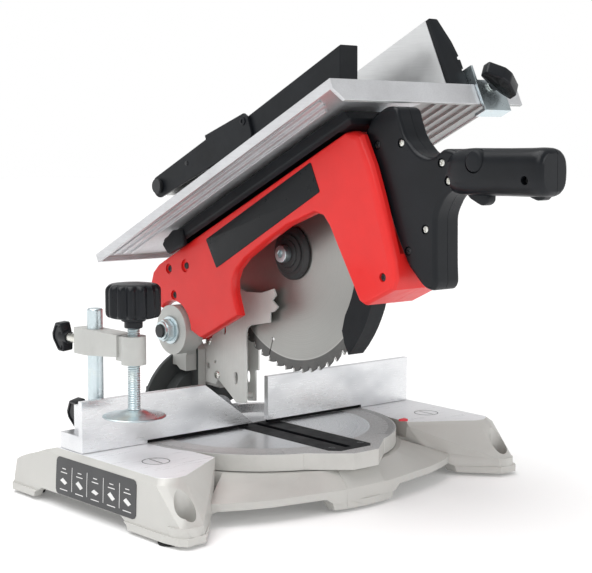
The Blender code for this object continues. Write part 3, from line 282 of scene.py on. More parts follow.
def base_look():
    """Silver-grey paint on the casting, ground bare on the faces level with the table."""
    k = Look("base_casting", 0.42, 0.2, 0.5)
    peel, sand, dirt = k.noise(380, 3, 0.5), k.noise(1800, 2, 0.5), k.noise(13, 5, 0.62)
    paint = k.ramp(dirt, (0.25, shade(GREY, 0.9)), (0.5, GREY), (0.78, shade(GREY, 1.05)))
    paint = k.mix(k.span(sand, 0.6, 0.75, 0, 0.2), paint, shade(GREY, 1.25))
    top = k.span(k.part(2), 0.04835, 0.04850, 0, 1)
    ground = k.noise(900, 3, 0.6, k.stretched((0.03, 1, 1)))
    bare = k.ramp(ground, (0.3, shade(SILVER, 1.16)), (0.7, shade(SILVER, 1.3)))
    k.to("Base Color", k.mix(top, paint, bare))
    k.to("Metallic", k.span(top, 0, 1, 0.2, 0.32))
    k.to("Roughness", k.blend(top, k.span(k.noise(50, 4), 0.3, 0.7, 0.36, 0.5), k.span(ground, 0.3, 0.7, 0.26, 0.42)))
    k.bump(k.math("ADD", k.math("MULTIPLY", peel, k.span(top, 0, 1, 1, 0.1)), k.math("MULTIPLY", sand, k.span(top, 0, 1, 0.6, 0.1))), 0.00013, 0.5)
    return k.m


def table_look():
    """Turned and polished on top, with a rough band for the scale; paint on the rim."""
    k = Look("turned_table", 0.2, 0.9, 0.5)
    r = k.distance(tuple(STAND.translation), 2)
    rings = k.noise(1.0, 2, 0.5, k.stretched((0.001, 0.001, 0.001)))
    w = k.t.nodes.new("ShaderNodeTexNoise")
    w.noise_dimensions = "1D"
    w.inputs["W"].default_value = 0
    k.put(w.inputs["W"], k.math("MULTIPLY", r, 1700.0))
    w.inputs["Scale"].default_value = 1.0
    w.inputs["Detail"].default_value = 3
    rings = w.outputs["Fac"]
    top = k.span(k.part(2), 0.04835, 0.04850, 0, 1)
    band = k.span(r, 0.0985, 0.0990, 0, 1)
    speck = k.cells(900)
    bare = k.ramp(rings, (0.3, shade(SILVER, 0.83)), (0.7, SILVER))
    rough_band = k.ramp(speck, (0.15, (0.40, 0.405, 0.405)), (0.6, (0.60, 0.605, 0.605)))
    dirt = k.noise(22, 5, 0.65)
    paint = k.ramp(dirt, (0.25, shade(GREY, 0.9)), (0.5, shade(GREY, 1.02)), (0.78, shade(GREY, 1.08)))
    k.to("Base Color", k.mix(top, paint, k.mix(band, bare, rough_band)))
    k.to("Metallic", k.blend(top, 0.2, k.span(band, 0, 1, 1.0, 0.6)))
    k.to("Roughness", k.blend(top, k.span(k.noise(60, 4), 0.3, 0.7, 0.38, 0.5), k.blend(band, k.span(rings, 0.3, 0.7, 0.24, 0.36), 0.5)))
    peel = k.math("ADD", k.noise(420, 3), k.math("MULTIPLY", k.noise(1800, 2), 0.6))
    k.bump(k.blend(top, peel, k.blend(band, k.math("MULTIPLY", rings, 0.05), speck)), 0.00012, 0.5)
    return k.m


def fence_look():
    """Milled faces: bright, with short cutter marks; the soft dark-to-bright clouds in the colour are painted
    reflections.
    """
    k = Look("milled_fence", 0.2, 0.88, 0.5)
    cloud = k.noise(9, 3, 0.5, k.stretched((1, 1, 1.6), turn=(0, 0.6, 0)))
    cutter = k.noise(2300, 3, 0.6, k.stretched((0.04, 1, 1), turn=(0, 0.5, 0)))
    # The cloud ramp from dark grey to near white is a painted reflection on the polished faces.
    bare = k.ramp(cloud, (0.30, (0.47, 0.485, 0.505)), (0.46, (0.76, 0.77, 0.785)), (0.8, (0.89, 0.895, 0.90)))
    k.to("Base Color", k.mix(k.span(cutter, 0.5, 0.75, 0, 0.12), bare, (0.46, 0.46, 0.47)))
    k.to("Roughness", k.math("ADD", k.span(cutter, 0.3, 0.7, 0.24, 0.36), k.span(cloud, 0.3, 0.7, 0.05, -0.04)))
    k.bump(cutter, 0.000006, 0.5)
    return k.m


def blade_look():
    """Circular grinding marks, and a dull ring left outside the polished disc."""
    k = Look("saw_blade_steel", 0.3, 0.9, 0.5)
    r = k.distance(tuple((HEAD @ Vector((0, -ARBOR[0] * MM, ARBOR[1] * MM)))), 0)
    w = k.t.nodes.new("ShaderNodeTexNoise")
    w.noise_dimensions = "1D"
    k.put(w.inputs["W"], k.math("MULTIPLY", r, 2600.0))
    w.inputs["Scale"].default_value = 1.0
    w.inputs["Detail"].default_value = 3
    rings = w.outputs["Fac"]
    outer = k.span(r, 0.0935, 0.0940, 0, 1)
    line = k.math("MULTIPLY", k.span(r, 0.0926, 0.0930, 0, 1), k.span(r, 0.0936, 0.0940, 1, 0))
    inside = k.ramp(rings, (0.25, (0.33, 0.33, 0.317)), (0.75, (0.45, 0.45, 0.432)))
    rim = k.ramp(rings, (0.25, (0.115, 0.115, 0.113)), (0.75, (0.175, 0.175, 0.171)))
    body = k.mix(outer, inside, rim)
    body = k.mix(k.math("MULTIPLY", line, 0.4), body, (0.62, 0.62, 0.60))
    k.to("Base Color", k.mix(k.span(k.noise(45, 4, 0.6), 0.5, 0.75, 0, 0.18), body, (0.34, 0.335, 0.32)))
    k.to("Roughness", k.math("ADD", k.span(rings, 0.3, 0.7, 0.30, 0.40), k.math("MULTIPLY", outer, 0.08)))
    k.bump(rings, 0.00001, 0.5)
    return k.m


def under_look():
    """The upper table: pale, with rubbed rims; the darker grey on the right half of its underside is painted shade,
    drawn with another look.
    """
    k = Look("upper_table_alloy", 0.34, 0.6, 0.5)
    cloud = k.noise(30, 4, 0.6)
    line = k.noise(1300, 3, 0.6, k.stretched((1, 0.02, 1)))
    body = k.ramp(cloud, (0.25, (0.58, 0.585, 0.60)), (0.6, (0.68, 0.688, 0.705)))
    k.to("Base Color", k.mix(k.span(line, 0.4, 0.7, 0, 0.2), body, (0.42, 0.42, 0.44)))
    k.to("Roughness", k.span(line, 0.3, 0.7, 0.38, 0.52))
    k.bump(line, 0.00002, 0.5)
    return k.m


LOOK["base"] = base_look()
LOOK["turned"] = table_look()
LOOK["fence"] = fence_look()
LOOK["blade"] = blade_look()
LOOK["upper"] = under_look()


# ---------------------------------------------------------------- making pieces
def arc(cx, cy, r, start, end, n):
    return [(cx + r * math.cos(math.radians(start + (end - start) * i / n)),
             cy + r * math.sin(math.radians(start + (end - start) * i / n))) for i in range(n + 1)]


def circle(cx, cy, r, n=24):
    return arc(cx, cy, r, 0, 360 - 360 / n, n - 1)


def area(ring):
    return sum(a[0] * b[1] - b[0] * a[1] for a, b in zip(ring, ring[1:] + ring[:1])) / 2


def inset(ring, by):
    turn = 1 if area(ring) > 0 else -1
    out = []
    for i, p in enumerate(ring):
        a, b, p = Vector(ring[i - 1]), Vector(ring[(i + 1) % len(ring)]), Vector(p)
        d1, d2 = (p - a).normalized(), (b - p).normalized()
        n1, n2 = Vector((-d1.y, d1.x)) * turn, Vector((-d2.y, d2.x)) * turn
        mid = n1 + n2
        mid = mid.normalized() if mid.length > 1e-6 else n1
        far = by[i] if isinstance(by, list) else by
        out.append(tuple(p + mid * (far / max(0.4, mid.dot(n1)))))
    return out


def rounded(ring, r, n=4):
    out = []
    for i, p in enumerate(ring):
        a, p, b = Vector(ring[i - 1]), Vector(p), Vector(ring[(i + 1) % len(ring)])
        d1, d2 = a - p, b - p
        k = min(r, d1.length * 0.45, d2.length * 0.45)
        s, e = p + d1.normalized() * k, p + d2.normalized() * k
        for j in range(n + 1):
            t = j / n
            out.append(tuple((1 - t) ** 2 * s + 2 * t * (1 - t) * p + t * t * e))
    return out


def hp(points):
    return [(-u, v) for u, v in points]


AXES = {"x": ((0, 0, 1), (1, 0, 0), (0, 1, 0)), "y": ((1, 0, 0), (0, 0, -1), (0, 1, 0)), "z": ((1, 0, 0), (0, 1, 0), (0, 0, 1))}


def lay(axis, a, b, h):
    """A point drawn as (a, b) at height h along an axis."""
    return {"x": (h, a, b), "y": (a, h, b), "z": (a, b, h)}[axis]


def loft(rings, caps=True):
    """A solid through rings of 3-D points that match one to one."""
    bm = bmesh.new()
    rows = [[bm.verts.new(p) for p in ring] for ring in rings]
    n = len(rows[0])
    for lo, hi in zip(rows, rows[1:]):
        for i in range(n):
            j = (i + 1) % n
            bm.faces.new((lo[i], lo[j], hi[j], hi[i]))
    if caps:
        bm.faces.new(rows[0][::-1])
        bm.faces.new(rows[-1])
    bmesh.ops.recalc_face_normals(bm, faces=bm.faces)
    return bm


def pillow(axis, lo, hi, ring, r_lo=0.0, r_hi=0.0, steps=4):
    """An outline with thickness whose two edges are rounded over."""
    rows = []
    if r_lo:
        for i in range(steps + 1):
            a = math.pi / 2 * i / steps
            rows.append((lo + r_lo * (1 - math.sin(a)), r_lo * (1 - math.cos(a))))
        rows = [(lo + r_lo * (1 - math.cos(a)), r_lo * (1 - math.sin(a))) for a in (math.pi / 2 * i / steps for i in range(steps + 1))]
    else:
        rows.append((lo, 0.0))
    if r_hi:
        rows += [(hi - r_hi * (1 - math.cos(a)), r_hi * (1 - math.sin(a))) for a in (math.pi / 2 * i / steps for i in range(steps, -1, -1))]
    else:
        rows.append((hi, 0.0))
    return loft([[lay(axis, a, b, h) for a, b in (inset(ring, by) if by > 1e-6 else ring)] for h, by in rows])


def flat(axis, lo, hi, ring, holes=()):
    """An outline with thickness and holes."""
    curve = bpy.data.curves.new("flat", "CURVE")
    curve.dimensions = "2D"
    curve.fill_mode = "BOTH"
    curve.extrude = (hi - lo) / 2
    for loop in (ring, *holes):
        s = curve.splines.new("POLY")
        s.points.add(len(loop) - 1)
        for point, (a, b) in zip(s.points, loop):
            point.co = (a, b, 0, 1)
        s.use_cyclic_u = True
    ob = bpy.data.objects.new("flat", curve)
    bpy.context.scene.collection.objects.link(ob)
    bpy.context.view_layer.update()
    mesh = bpy.data.meshes.new_from_object(ob.evaluated_get(bpy.context.evaluated_depsgraph_get()))
    bpy.data.objects.remove(ob, do_unlink=True)
    mesh.transform(Matrix(AXES[axis]).to_4x4())
    mesh.transform(Matrix.Translation(lay(axis, 0, 0, (lo + hi) / 2)))
    bm = bmesh.new()
    bm.from_mesh(mesh)
    bpy.data.meshes.remove(mesh)
    bmesh.ops.remove_doubles(bm, verts=bm.verts, dist=1e-4)
    bmesh.ops.recalc_face_normals(bm, faces=bm.faces)
    return bm


def lathe(axis, at, profile, steps=40):
    """A closed profile of (radius, height) turned about an axis; the ends may lie on it."""
    bm = bmesh.new()
    rows = []
    for r, h in profile:
        if r < 1e-6:
            rows.append([bm.verts.new(lay(axis, at[0], at[1], h))])
        else:
            rows.append([bm.verts.new(lay(axis, at[0] + r * math.cos(2 * math.pi * i / steps), at[1] + r * math.sin(2 * math.pi * i / steps), h)) for i in range(steps)])
    pairs = list(zip(rows, rows[1:]))
    if profile[0][0] > 1e-6:
        pairs.append((rows[-1], rows[0]))
    for a, b in pairs:
        for i in range(steps):
            j = (i + 1) % steps
            if len(a) == 1 and len(b) == 1:
                break
            if len(a) == 1:
                bm.faces.new((a[0], b[i], b[j]))
            elif len(b) == 1:
                bm.faces.new((a[i], b[0], a[j]))
            else:
                bm.faces.new((a[i], b[i], b[j], a[j]))
    bmesh.ops.recalc_face_normals(bm, faces=bm.faces)
    return bm


def block(x, y, z):
    bm = bmesh.new()
    bmesh.ops.create_cube(bm, size=1)
    for v in bm.verts:
        v.co = Vector([lo + (c + 0.5) * (hi - lo) for c, (lo, hi) in zip(v.co, (x, y, z))])
    return bm


def merge(*parts):
    out = bmesh.new()
    for bm in parts:
        mesh = bpy.data.meshes.new("m")
        bm.to_mesh(mesh)
        bm.free()
        out.from_mesh(mesh)
        bpy.data.meshes.remove(mesh)
    return out


def carve(bm, operation, *others):
    """Booleans between meshes drawn in the same place."""
    def holder(b, name):
        mesh = bpy.data.meshes.new(name)
        b.to_mesh(mesh)
        b.free()
        ob = bpy.data.objects.new(name, mesh)
        bpy.context.scene.collection.objects.link(ob)
        return ob
    body = holder(bm, "carve")
    for other in others:
        tool = holder(other, "tool")
        mod = body.modifiers.new("b", "BOOLEAN")
        mod.operation, mod.solver, mod.object = operation, "EXACT", tool
        mod.use_self = mod.use_hole_tolerant = True
        bpy.context.view_layer.update()
        made = bpy.data.meshes.new_from_object(body.evaluated_get(bpy.context.evaluated_depsgraph_get()))
        body.modifiers.clear()
        body.data = made
        bpy.data.objects.remove(tool, do_unlink=True)
    out = bmesh.new()
    out.from_mesh(body.data)
    bpy.data.objects.remove(body, do_unlink=True)
    bmesh.ops.remove_doubles(out, verts=out.verts, dist=1e-3)
    return out


def cut(bm, *others):
    return carve(bm, "DIFFERENCE", *others)


def join(bm, *others):
    return carve(bm, "UNION", *others)


def edges(ob, width, segments=2, angle=30):
    mod = ob.modifiers.new("edges", "BEVEL")
    mod.width = width * MM
    mod.segments = segments
    mod.limit_method = "ANGLE"
    mod.angle_limit = math.radians(angle)
    mod.use_clamp_overlap = True
    mod.harden_normals = False
    mod.miter_outer = "MITER_ARC"
    normals = ob.modifiers.new("normals", "WEIGHTED_NORMAL")
    normals.keep_sharp = True


def piece(name, bm, look, body, space=STAND, bevel=0.0, segments=2, smooth=35, stands_for=(), extra=()):
    mesh = bpy.data.meshes.new(name)
    bm.to_mesh(mesh)
    bm.free()
    mesh.transform(space @ Matrix.Scale(MM, 4))
    ob = bpy.data.objects.new(name, mesh)
    bpy.context.scene.collection.objects.link(ob)
    for m in (look, *extra):
        mesh.materials.append(LOOK[m])
    mesh.shade_smooth()
    mesh.set_sharp_from_angle(angle=math.radians(smooth))
    if bevel:
        edges(ob, bevel, segments)
    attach(ob, body)
    if stands_for:
        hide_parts(*stands_for)
    return ob


def refined(node, look, bevel, segments=2, smooth=32, second=None, where=None, tools=()):
    """A CAD node's own shape, welded and with its edges broken as on the real piece."""
    bm = bmesh.new()
    bm.from_mesh(NODES[node].data)
    bmesh.ops.remove_doubles(bm, verts=bm.verts, dist=2e-6)
    bmesh.ops.dissolve_limit(bm, angle_limit=math.radians(0.6), verts=bm.verts, edges=bm.edges)
    bmesh.ops.recalc_face_normals(bm, faces=bm.faces)
    if node in ("turntable", "upper_table"):  # their tops have a long hole, so they are drawn in small faces
        bmesh.ops.triangulate(bm, faces=[f for f in bm.faces if len(f.verts) > 4])
    if tools:
        there = HEAD @ Matrix.Scale(MM, 4)
        bm.transform(there.inverted())
        bm = cut(bm, *tools)
        bm.transform(there)
    mesh = bpy.data.meshes.new(node + "_finish")
    bm.to_mesh(mesh)
    bm.free()
    ob = bpy.data.objects.new(node + "_finish", mesh)
    bpy.context.scene.collection.objects.link(ob)
    mesh.materials.append(LOOK[look])
    if second:
        for other in second:
            mesh.materials.append(LOOK[other])
        home = STAND.inverted()
        for face in mesh.polygons:
            face.material_index = int(where(home @ face.center / MM, face.normal))
    mesh.shade_smooth()
    mesh.set_sharp_from_angle(angle=math.radians(smooth))
    if bevel:
        edges(ob, bevel, segments)
        facets = ob.modifiers.new("facets", "TRIANGULATE")
        facets.min_vertices = 5
        facets.keep_custom_normals = True
    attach(ob, BODY_OF[node])
    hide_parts(node)
    return ob


# ---------------------------------------------------------------- camera, light and floor
cam_data = bpy.data.cameras.new("camera")
cam_data.sensor_fit = "HORIZONTAL"
cam_data.sensor_width = 36.0
cam_data.lens = 82.983
cam = bpy.data.objects.new("camera", cam_data)
bpy.context.scene.collection.objects.link(cam)
az, el, roll = (math.radians(a) for a in (-40.5093, 6.0232, 0.1935))
ahead = Vector((-math.sin(az) * math.cos(el), math.cos(az) * math.cos(el), -math.sin(el)))
right = Vector((math.cos(az), math.sin(az), 0))
up = right.cross(ahead)
r2, u2 = math.cos(roll) * right + math.sin(roll) * up, -math.sin(roll) * right + math.cos(roll) * up
cam.matrix_world = Matrix.Translation(STAND @ Vector((-0.770199, -0.949620, 0.303898))) @ Matrix((r2, u2, -ahead)).transposed().to_4x4()
bpy.context.scene.camera = cam


def softbox(name, at, aim, size, power, colour=(1, 1, 1)):
    data = bpy.data.lights.new(name, "AREA")
    data.shape = "RECTANGLE"
    data.size, data.size_y = size
    data.energy = power
    data.color = colour
    ob = bpy.data.objects.new(name, data)
    bpy.context.scene.collection.objects.link(ob)
    at, aim = Vector(at), Vector(aim)
    ob.matrix_world = Matrix.Translation(at) @ (at - aim).to_track_quat("Z", "Y").to_matrix().to_4x4()


softbox("key", (-1.5, -0.5, 1.7), (0, 0, 0.15), (1.1, 1.1), 11)
softbox("front", (0.6, -1.9, 0.9), (0, 0, 0.2), (1.4, 0.7), 7)
overhead = bpy.data.lights.new("overhead", "SUN")
overhead.energy = 1.75
overhead.angle = math.radians(55)
lamp = bpy.data.objects.new("overhead", overhead)
bpy.context.scene.collection.objects.link(lamp)
lamp.matrix_world = Matrix.Rotation(math.radians(-14), 4, "X") @ Matrix.Rotation(math.radians(-12), 4, "Y")
world = bpy.data.worlds.new("studio")
bpy.context.scene.world = world
world.use_nodes = True
wt = world.node_tree
sky = wt.nodes["Background"]
gen = wt.nodes.new("ShaderNodeTexCoord").outputs["Generated"]
sep = wt.nodes.new("ShaderNodeSeparateXYZ")
wt.links.new(gen, sep.inputs[0])
grade = wt.nodes.new("ShaderNodeValToRGB")
half = wt.nodes.new("ShaderNodeMath")
half.operation = "MULTIPLY_ADD"
half.inputs[1].default_value = 0.5
half.inputs[2].default_value = 0.5
wt.links.new(sep.outputs[2], half.inputs[0])
wt.links.new(half.outputs[0], grade.inputs[0])
for _ in range(3):
    grade.color_ramp.elements.new(0.5)
for e, (where, v) in zip(grade.color_ramp.elements, ((0.0, 1.0), (0.60, 1.0), (0.70, 0.42), (0.85, 0.40), (1.0, 0.7))):
    e.position = where
    e.color = (v, v, v, 1)
wt.links.new(grade.outputs[0], sky.inputs["Color"])
sky.inputs["Strength"].default_value = 1.0
bpy.context.scene.view_settings.view_transform = "Standard"
bpy.context.scene.view_settings.look = "None"

ground = bmesh.new()
bmesh.ops.create_grid(ground, x_segments=8, y_segments=8, size=9)
mesh = bpy.data.meshes.new("floor")
ground.to_mesh(mesh)
ground.free()
floor = bpy.data.objects.new("floor", mesh)
bpy.context.scene.collection.objects.link(floor)
k = Look("pale_floor", 0.7, 0.0, 0.2)
k.to("Base Color", k.ramp(k.noise(2.0, 3), (0.3, (0.91, 0.91, 0.91)), (0.7, (0.93, 0.93, 0.93))))
k.to("Emission Color", (1, 1, 1)).to("Emission Strength", 0.11)
mesh.materials.append(k.m)

# ---------------------------------------------------------------- CAD shapes with their real edges
for node, look, bevel, segments in (
    ("base", "base", 2.2, 3), ("fence", "fence", 0.4, 2), ("mitre_pointer", "pointer", 0.4, 2),
    ("foot_front_left", "rubber", 0.5, 2), ("foot_front_right", "rubber", 0.5, 2), ("foot_back_left", "rubber", 0.5, 2), ("foot_back_right", "rubber", 0.5, 2),
    ("clamp_post", "zinc", 0.4, 2), ("clamp_arm", "cast", 1.1, 3), ("turntable", "turned", 0.5, 2), ("mitre_pivot_bolt", "zinc", 0.4, 2),
    ("kerf_insert", "insert", 0.4, 2), ("bevel_pivot_pin", "zinc", 0.3, 2), ("bevel_quadrant", "quadrant", 0.8, 3), ("hinge_bolt", "dark", 0.4, 2),
    ("hinge_nut", "zinc", 0.5, 2), ("hinge_washer", "zinc", 0.4, 2), ("blade_channel", "plate", 0.25, 2),
    ("bevel_lock_lever", "satin", 1.0, 3), ("right_housing", "red", 1.2, 3), ("top_cover", "black", 1.2, 3),
    ("motor_housing", "black", 0.8, 2), ("motor_end_cap", "black", 0.5, 2), ("motor_stator", "steel", 0.3, 2), ("cord_inlet", "rubber", 0.4, 2),
    ("spindle_bearing", "zinc", 0.3, 2), ("riving_knife", "steel", 0.3, 2), ("guard_pivot_bolt", "dark", 0.4, 2), ("power_switch", "black", 0.3, 2),
    ("spindle", "steel", 0.3, 2), ("drive_gear", "steel", 0.15, 1), ("inner_flange", "dark", 0.4, 2), ("outer_flange", "flange", 0.5, 2),
    ("arbor_bolt", "zinc", 0.4, 2), ("motor_armature", "copper", 0.2, 1), ("motor_fan", "black", 0.2, 1), ("lower_guard", "black", 0.5, 2),
    ("table_post_rear", "zinc", 0.5, 2), ("table_post_front", "zinc", 0.5, 2),
    ("rip_fence", "alloy", 0.35, 2), ("rip_fence_bracket", "zinc", 0.4, 2),
    ("upper_guard", "black", 1.0, 3), ("guard_lever", "black", 0.6, 2),
):
    refined(node, look, bevel, segments)
refined("arm_bracket", "cast", 1.0, 3, 32, ("quadrant",), lambda c, n: abs(c.y - 83.4) < 0.3 or (c.y > 83.3 and abs(c.x) > 17.4 and c.z < 93))


def table_side(c, n):
    """Milled on top, a darker grey under the right half as painted shade, pale elsewhere."""
    up = n.dot(HEAD.to_3x3() @ Vector((0, 0, 1)))
    if up > 0.9:
        return 2 if (HEAD.inverted() @ STAND @ (c * MM)).z > 0.0872 else 1 if c.x > 0 else 0
    return 1 if c.x > 0 and (up < -0.7 or (abs(n.x) > 0.7 and 20 < c.x < 112)) else 0


refined("upper_table", "upper", 0.8, 2, 32, ("under", "milled"), table_side)
refined("left_cover", "red", 0.5, 2, 32, tools=[
    lathe("x", (-u, v), [(0, -52), (r, -52), (r, -40), (0, -40)], 36) for u, v, r in ((43.3, 46.8, 6.0), (18.1, 53.6, 4.8), (15, 28.7, 4.5))])
nose = pillow("y", -328.5, -324.3, rounded([(50, 88.1), (72, 88.1), (72, 111), (71.2, 117), (68.6, 129), (60, 149.5), (50, 149.5)], 1.2, 3), 0.6, 0.2, 3)
nose = cut(nose, block((68.6, 76), (-332, -320), (112.5, 116)), block((69.4, 76), (-332, -320), (101, 104.5)))
piece("rip_nose", nose, "black", BODY_OF["rip_fence_nose"], HEAD, smooth=28, stands_for=("rip_fence_nose",))

# ---------------------------------------------------------------- fastenings
def facing(axis, sign):
    """Turns a piece drawn up +Z so that it points along an axis."""
    to = {"x": Vector((1, 0, 0)), "y": Vector((0, 1, 0)), "z": Vector((0, 0, 1))}[axis] * sign
    return Vector((0, 0, 1)).rotation_difference(to).to_matrix().to_4x4()


def cross_screw(name, at, axis, sign, r, tall, look, body, space, turn=20, dome=True, sunk=0.6):
    """A pan or flat head with a cross recess, seated at a point and pointing along an axis."""
    head = lathe("z", (0, 0), [(0, tall), (r * 0.45, tall * 0.96), (r * 0.78, tall * 0.78), (r * 0.95, tall * 0.42), (r, tall * 0.12), (r, -sunk), (0, -sunk)] if dome else
                 [(0, tall), (r * 0.86, tall), (r, tall * 0.72), (r, -sunk), (0, -sunk)], 28)
    a, b = block((-r * 0.62, r * 0.62), (-r * 0.13, r * 0.13), (tall * 0.3, tall + 2)), block((-r * 0.13, r * 0.13), (-r * 0.62, r * 0.62), (tall * 0.3, tall + 2))
    head = cut(head, join(a, b))
    bmesh.ops.transform(head, matrix=Matrix.Translation(at) @ facing(axis, sign) @ Matrix.Rotation(math.radians(turn), 4, "Z"), verts=head.verts)
    return piece(name, head, look, body, space, smooth=28)


def socket_screw(name, at, axis, sign, r, tall, look, body, space, sunk=0.6):
    """A round head with a hexagon socket."""
    head = lathe("z", (0, 0), [(0, tall), (r * 0.84, tall), (r * 0.97, tall * 0.85), (r, tall * 0.6), (r, -sunk), (0, -sunk)], 28)
    head = cut(head, pillow("z", tall * 0.25, tall + 2, circle(0, 0, r * 0.52, 6)))
    bmesh.ops.transform(head, matrix=Matrix.Translation(at) @ facing(axis, sign), verts=head.verts)
    return piece(name, head, look, body, space, smooth=28)


# ---------------------------------------------------------------- handle
PLATE = rounded([(297, 60), (305, 64.5), (310, 68), (328, 68.5), (338.5, 62.5), (337, 50.5), (337, 37.5), (343, 22.3), (350, 15.5), (357, 11.8),
                 (369, 13.6), (375.6, 10), (382.3, 3), (379, -9.8), (370.4, -16.4), (353.7, -19.6), (342, -28.2), (334, -46),
                 (326.7, -62.5), (321.5, -76), (316, -79.5), (308, -74), (299.5, -54), (297, -30)], 5, 4)
GRIP = ((360, -1.2), (449.5, -41.8))
GA = math.atan2(GRIP[1][1] - GRIP[0][1], GRIP[1][0] - GRIP[0][0])


def grip_ring(t, ry, rx, n=44):
    cu, cv = (GRIP[0][i] + (GRIP[1][i] - GRIP[0][i]) * t for i in (0, 1))
    ring = []
    for i in range(n):
        a = 2 * math.pi * i / n
        s, c = math.sin(a), math.cos(a)
        sx, sy = abs(c) ** 0.74 * (1 if c > 0 else -1), abs(s) ** 0.74 * (1 if s > 0 else -1)
        ring.append((-20 + rx * sx, -(cu - math.sin(GA) * ry * sy), cv + math.cos(GA) * ry * sy))
    return ring


def grip():
    return loft([grip_ring(*row) for row in (
        (0.0, 12, 8), (0.05, 14.2, 11), (0.11, 16.0, 13.6), (0.18, 17.1, 15.4), (0.26, 17.5, 16.1), (0.4, 17.3, 16.4), (0.6, 17.1, 16.5), (0.8, 17.2, 16.5),
        (0.9, 17.5, 16.4), (0.945, 17.2, 16.0), (0.97, 16.5, 15.2), (0.988, 15.2, 13.9), (1.0, 13.2, 11.9))])


def hook():
    """The small hanging nib under the end of the grip."""
    return pillow("x", -24, -16, hp(rounded([(423, -46), (438, -51), (438.4, -54.4), (435, -56.2), (430, -54.6), (425, -50)], 1.6)), 1.0, 1.0, 2)


handle_screws = ((331.3, 35.6, "screw"), (363.5, 4.5, "screw"), (364.2, -10.5, "screw"), (327.9, -34.2, "screw"), (306.8, 45.4, "dark"), (304.6, -42.4, "dark"))
for name, side in (("handle_left", -1), ("handle_right", 1)):
    shell = pillow("x", -31, -4, hp(PLATE), 3.6, 3.2, 5)
    shell = join(shell, grip(), hook())
    away = block((-17.65, 60), (-700, 0), (-300, 300)) if side < 0 else join(block((-90, -17.35), (-700, 0), (-300, 300)), block((-10.4, 60), (-306, 0), (-300, 300)))
    shell = cut(shell, block((-25.5, -14.5), (-394, -369), (-70, -13)), away)
    if side < 0:
        shell = cut(shell, *[lathe("x", (-u, v), [(0, -29), (3.7, -29), (3.7, -50), (0, -50)], 24) for u, v, _ in handle_screws])
        shell = cut(shell, lathe("x", (-397, -9.5), [(0, -26.2), (8.6, -26.2), (8.6, -50), (0, -50)], 32),
                    lathe("x", (-434.6, -41.0), [(0, -31), (3.2, -31), (3.2, -50), (0, -50)], 24))
    piece(name + "_shell", shell, "satin", "head", HEAD, 0.35, 2, 30, (name,))
for i, (u, v, look) in enumerate(handle_screws):
    cross_screw(f"handle_screw_{i + 1}", (-29, -u, v), "x", -1, 3.1, 1.7, look, "head", HEAD, 15 + 23 * i)
cross_screw("grip_screw", (-31, -434.6, -41.0), "x", -1, 2.9, 1.6, "dark", "head", HEAD, 40)
piece("lock_button_cap", lathe("x", (-397, -9.5), [(0, -37), (3.5, -37), (6.4, -36.8), (7.6, -36.2), (8.2, -35.2), (8.2, -28.6), (0, -28.6)], 40), "black", "lock_button", HEAD, stands_for=("lock_button",))
piece("trigger_blade", pillow("x", -25, -15, hp(rounded([(372, -17), (390, -20), (391, -32), (388.5, -38), (382, -38.5), (377, -33), (372, -27)], 3, 4)), 1.8, 1.8, 4),
      "black", "trigger", HEAD, stands_for=("trigger",))

# ---------------------------------------------------------------- red cover's fittings
for i, (u, v) in enumerate(((15, 28.7), (43.3, 46.8), (18.1, 53.6), (281, -54.4))):
    cross_screw(f"cover_screw_{i + 1}", (-40.2, -u, v), "x", -1, 3.1, 1.0, "dark", "head", HEAD, 35 + 31 * i, True, 0.2)
piece("name_panel", pillow("x", -42.55, -41.7, hp(rounded([(83.5, 56.6), (241.5, 60.4), (241.9, 34.2), (87.0, 27.8)], 1.6)), 0.3, 0, 3), "panel", "head", HEAD)

socket_screw("guard_bolt_head", (-13.2, 0.5, 144.5), "x", -1, 6.2, 2.6, "dark", "over_guard", HEAD, 0.1)
socket_screw("guard_rivet", (-13.2, -142.8, 144.6), "x", -1, 3.6, 1.0, "black", "over_guard", HEAD, 0.1)
piece("guard_dot", lathe("x", (-49.4, 146.1), [(0, -14.1), (1.6, -14.1), (2.2, -13.7), (2.2, -13.1), (0, -13.1)], 20), "dark", "over_guard", HEAD)
piece("cover_catch", pillow("x", -51.0, -47.0, hp(rounded([(29.5, 74.3), (49.7, 79.7), (64.6, 74.9), (61.3, 60.5), (34, 62)], 3, 4)), 1.6, 0, 4), "black", "head", HEAD)

# ---------------------------------------------------------------- saw blade
R, TEETH, FIRST = 105.0, 56, -65.2
PITCH = 360 / TEETH
ring = []
for i in range(TEETH):
    for r, a in ((R - 0.3, 0.12), (R - 0.7, 1.1), (R - 1.3, 2.6), (R - 2.1, 3.9), (R - 2.9, 4.55), (R - 4.0, 4.95), (R - 5.0, 5.25), (R - 5.5, 5.6), (R - 5.3, 5.9), (R - 4.4, 6.12), (R - 2.4, 6.28)):
        t = math.radians((FIRST + PITCH * i - a + 540) % 360 - 180)
        ring.append((r * math.cos(t), r * math.sin(t)))
ring.sort(key=lambda q: math.atan2(q[1], q[0]))
disc = flat("x", -0.95, 0.95, ring, [circle(0, 0, 10.2, 40)])
slots = []
for i in range(4):
    b = join(block((-4, 4), (83, 112), (-0.65, 0.65)), lathe("x", (83.5, 0), [(0, -4), (1.9, -4), (1.9, 4), (0, 4)], 20))
    bmesh.ops.transform(b, matrix=Matrix.Rotation(math.radians(90 * i - 45.5), 4, "X"), verts=b.verts)
    slots.append(b)
disc = cut(disc, *slots)
tips = []
for i in range(TEETH):
    c = FIRST + PITCH * i
    quad = [(r * math.cos(math.radians(c - a)), r * math.sin(math.radians(c - a))) for r, a in ((R - 3.9, -0.10), (R, 0.0), (R - 0.45, 0.95), (R - 3.8, 0.95))]
    tips.append(pillow("x", -1.2, 1.2, quad, 0.2, 0.2, 1))
bmesh.ops.transform(disc, matrix=Matrix.Translation((0, -ARBOR[0], ARBOR[1])), verts=disc.verts)
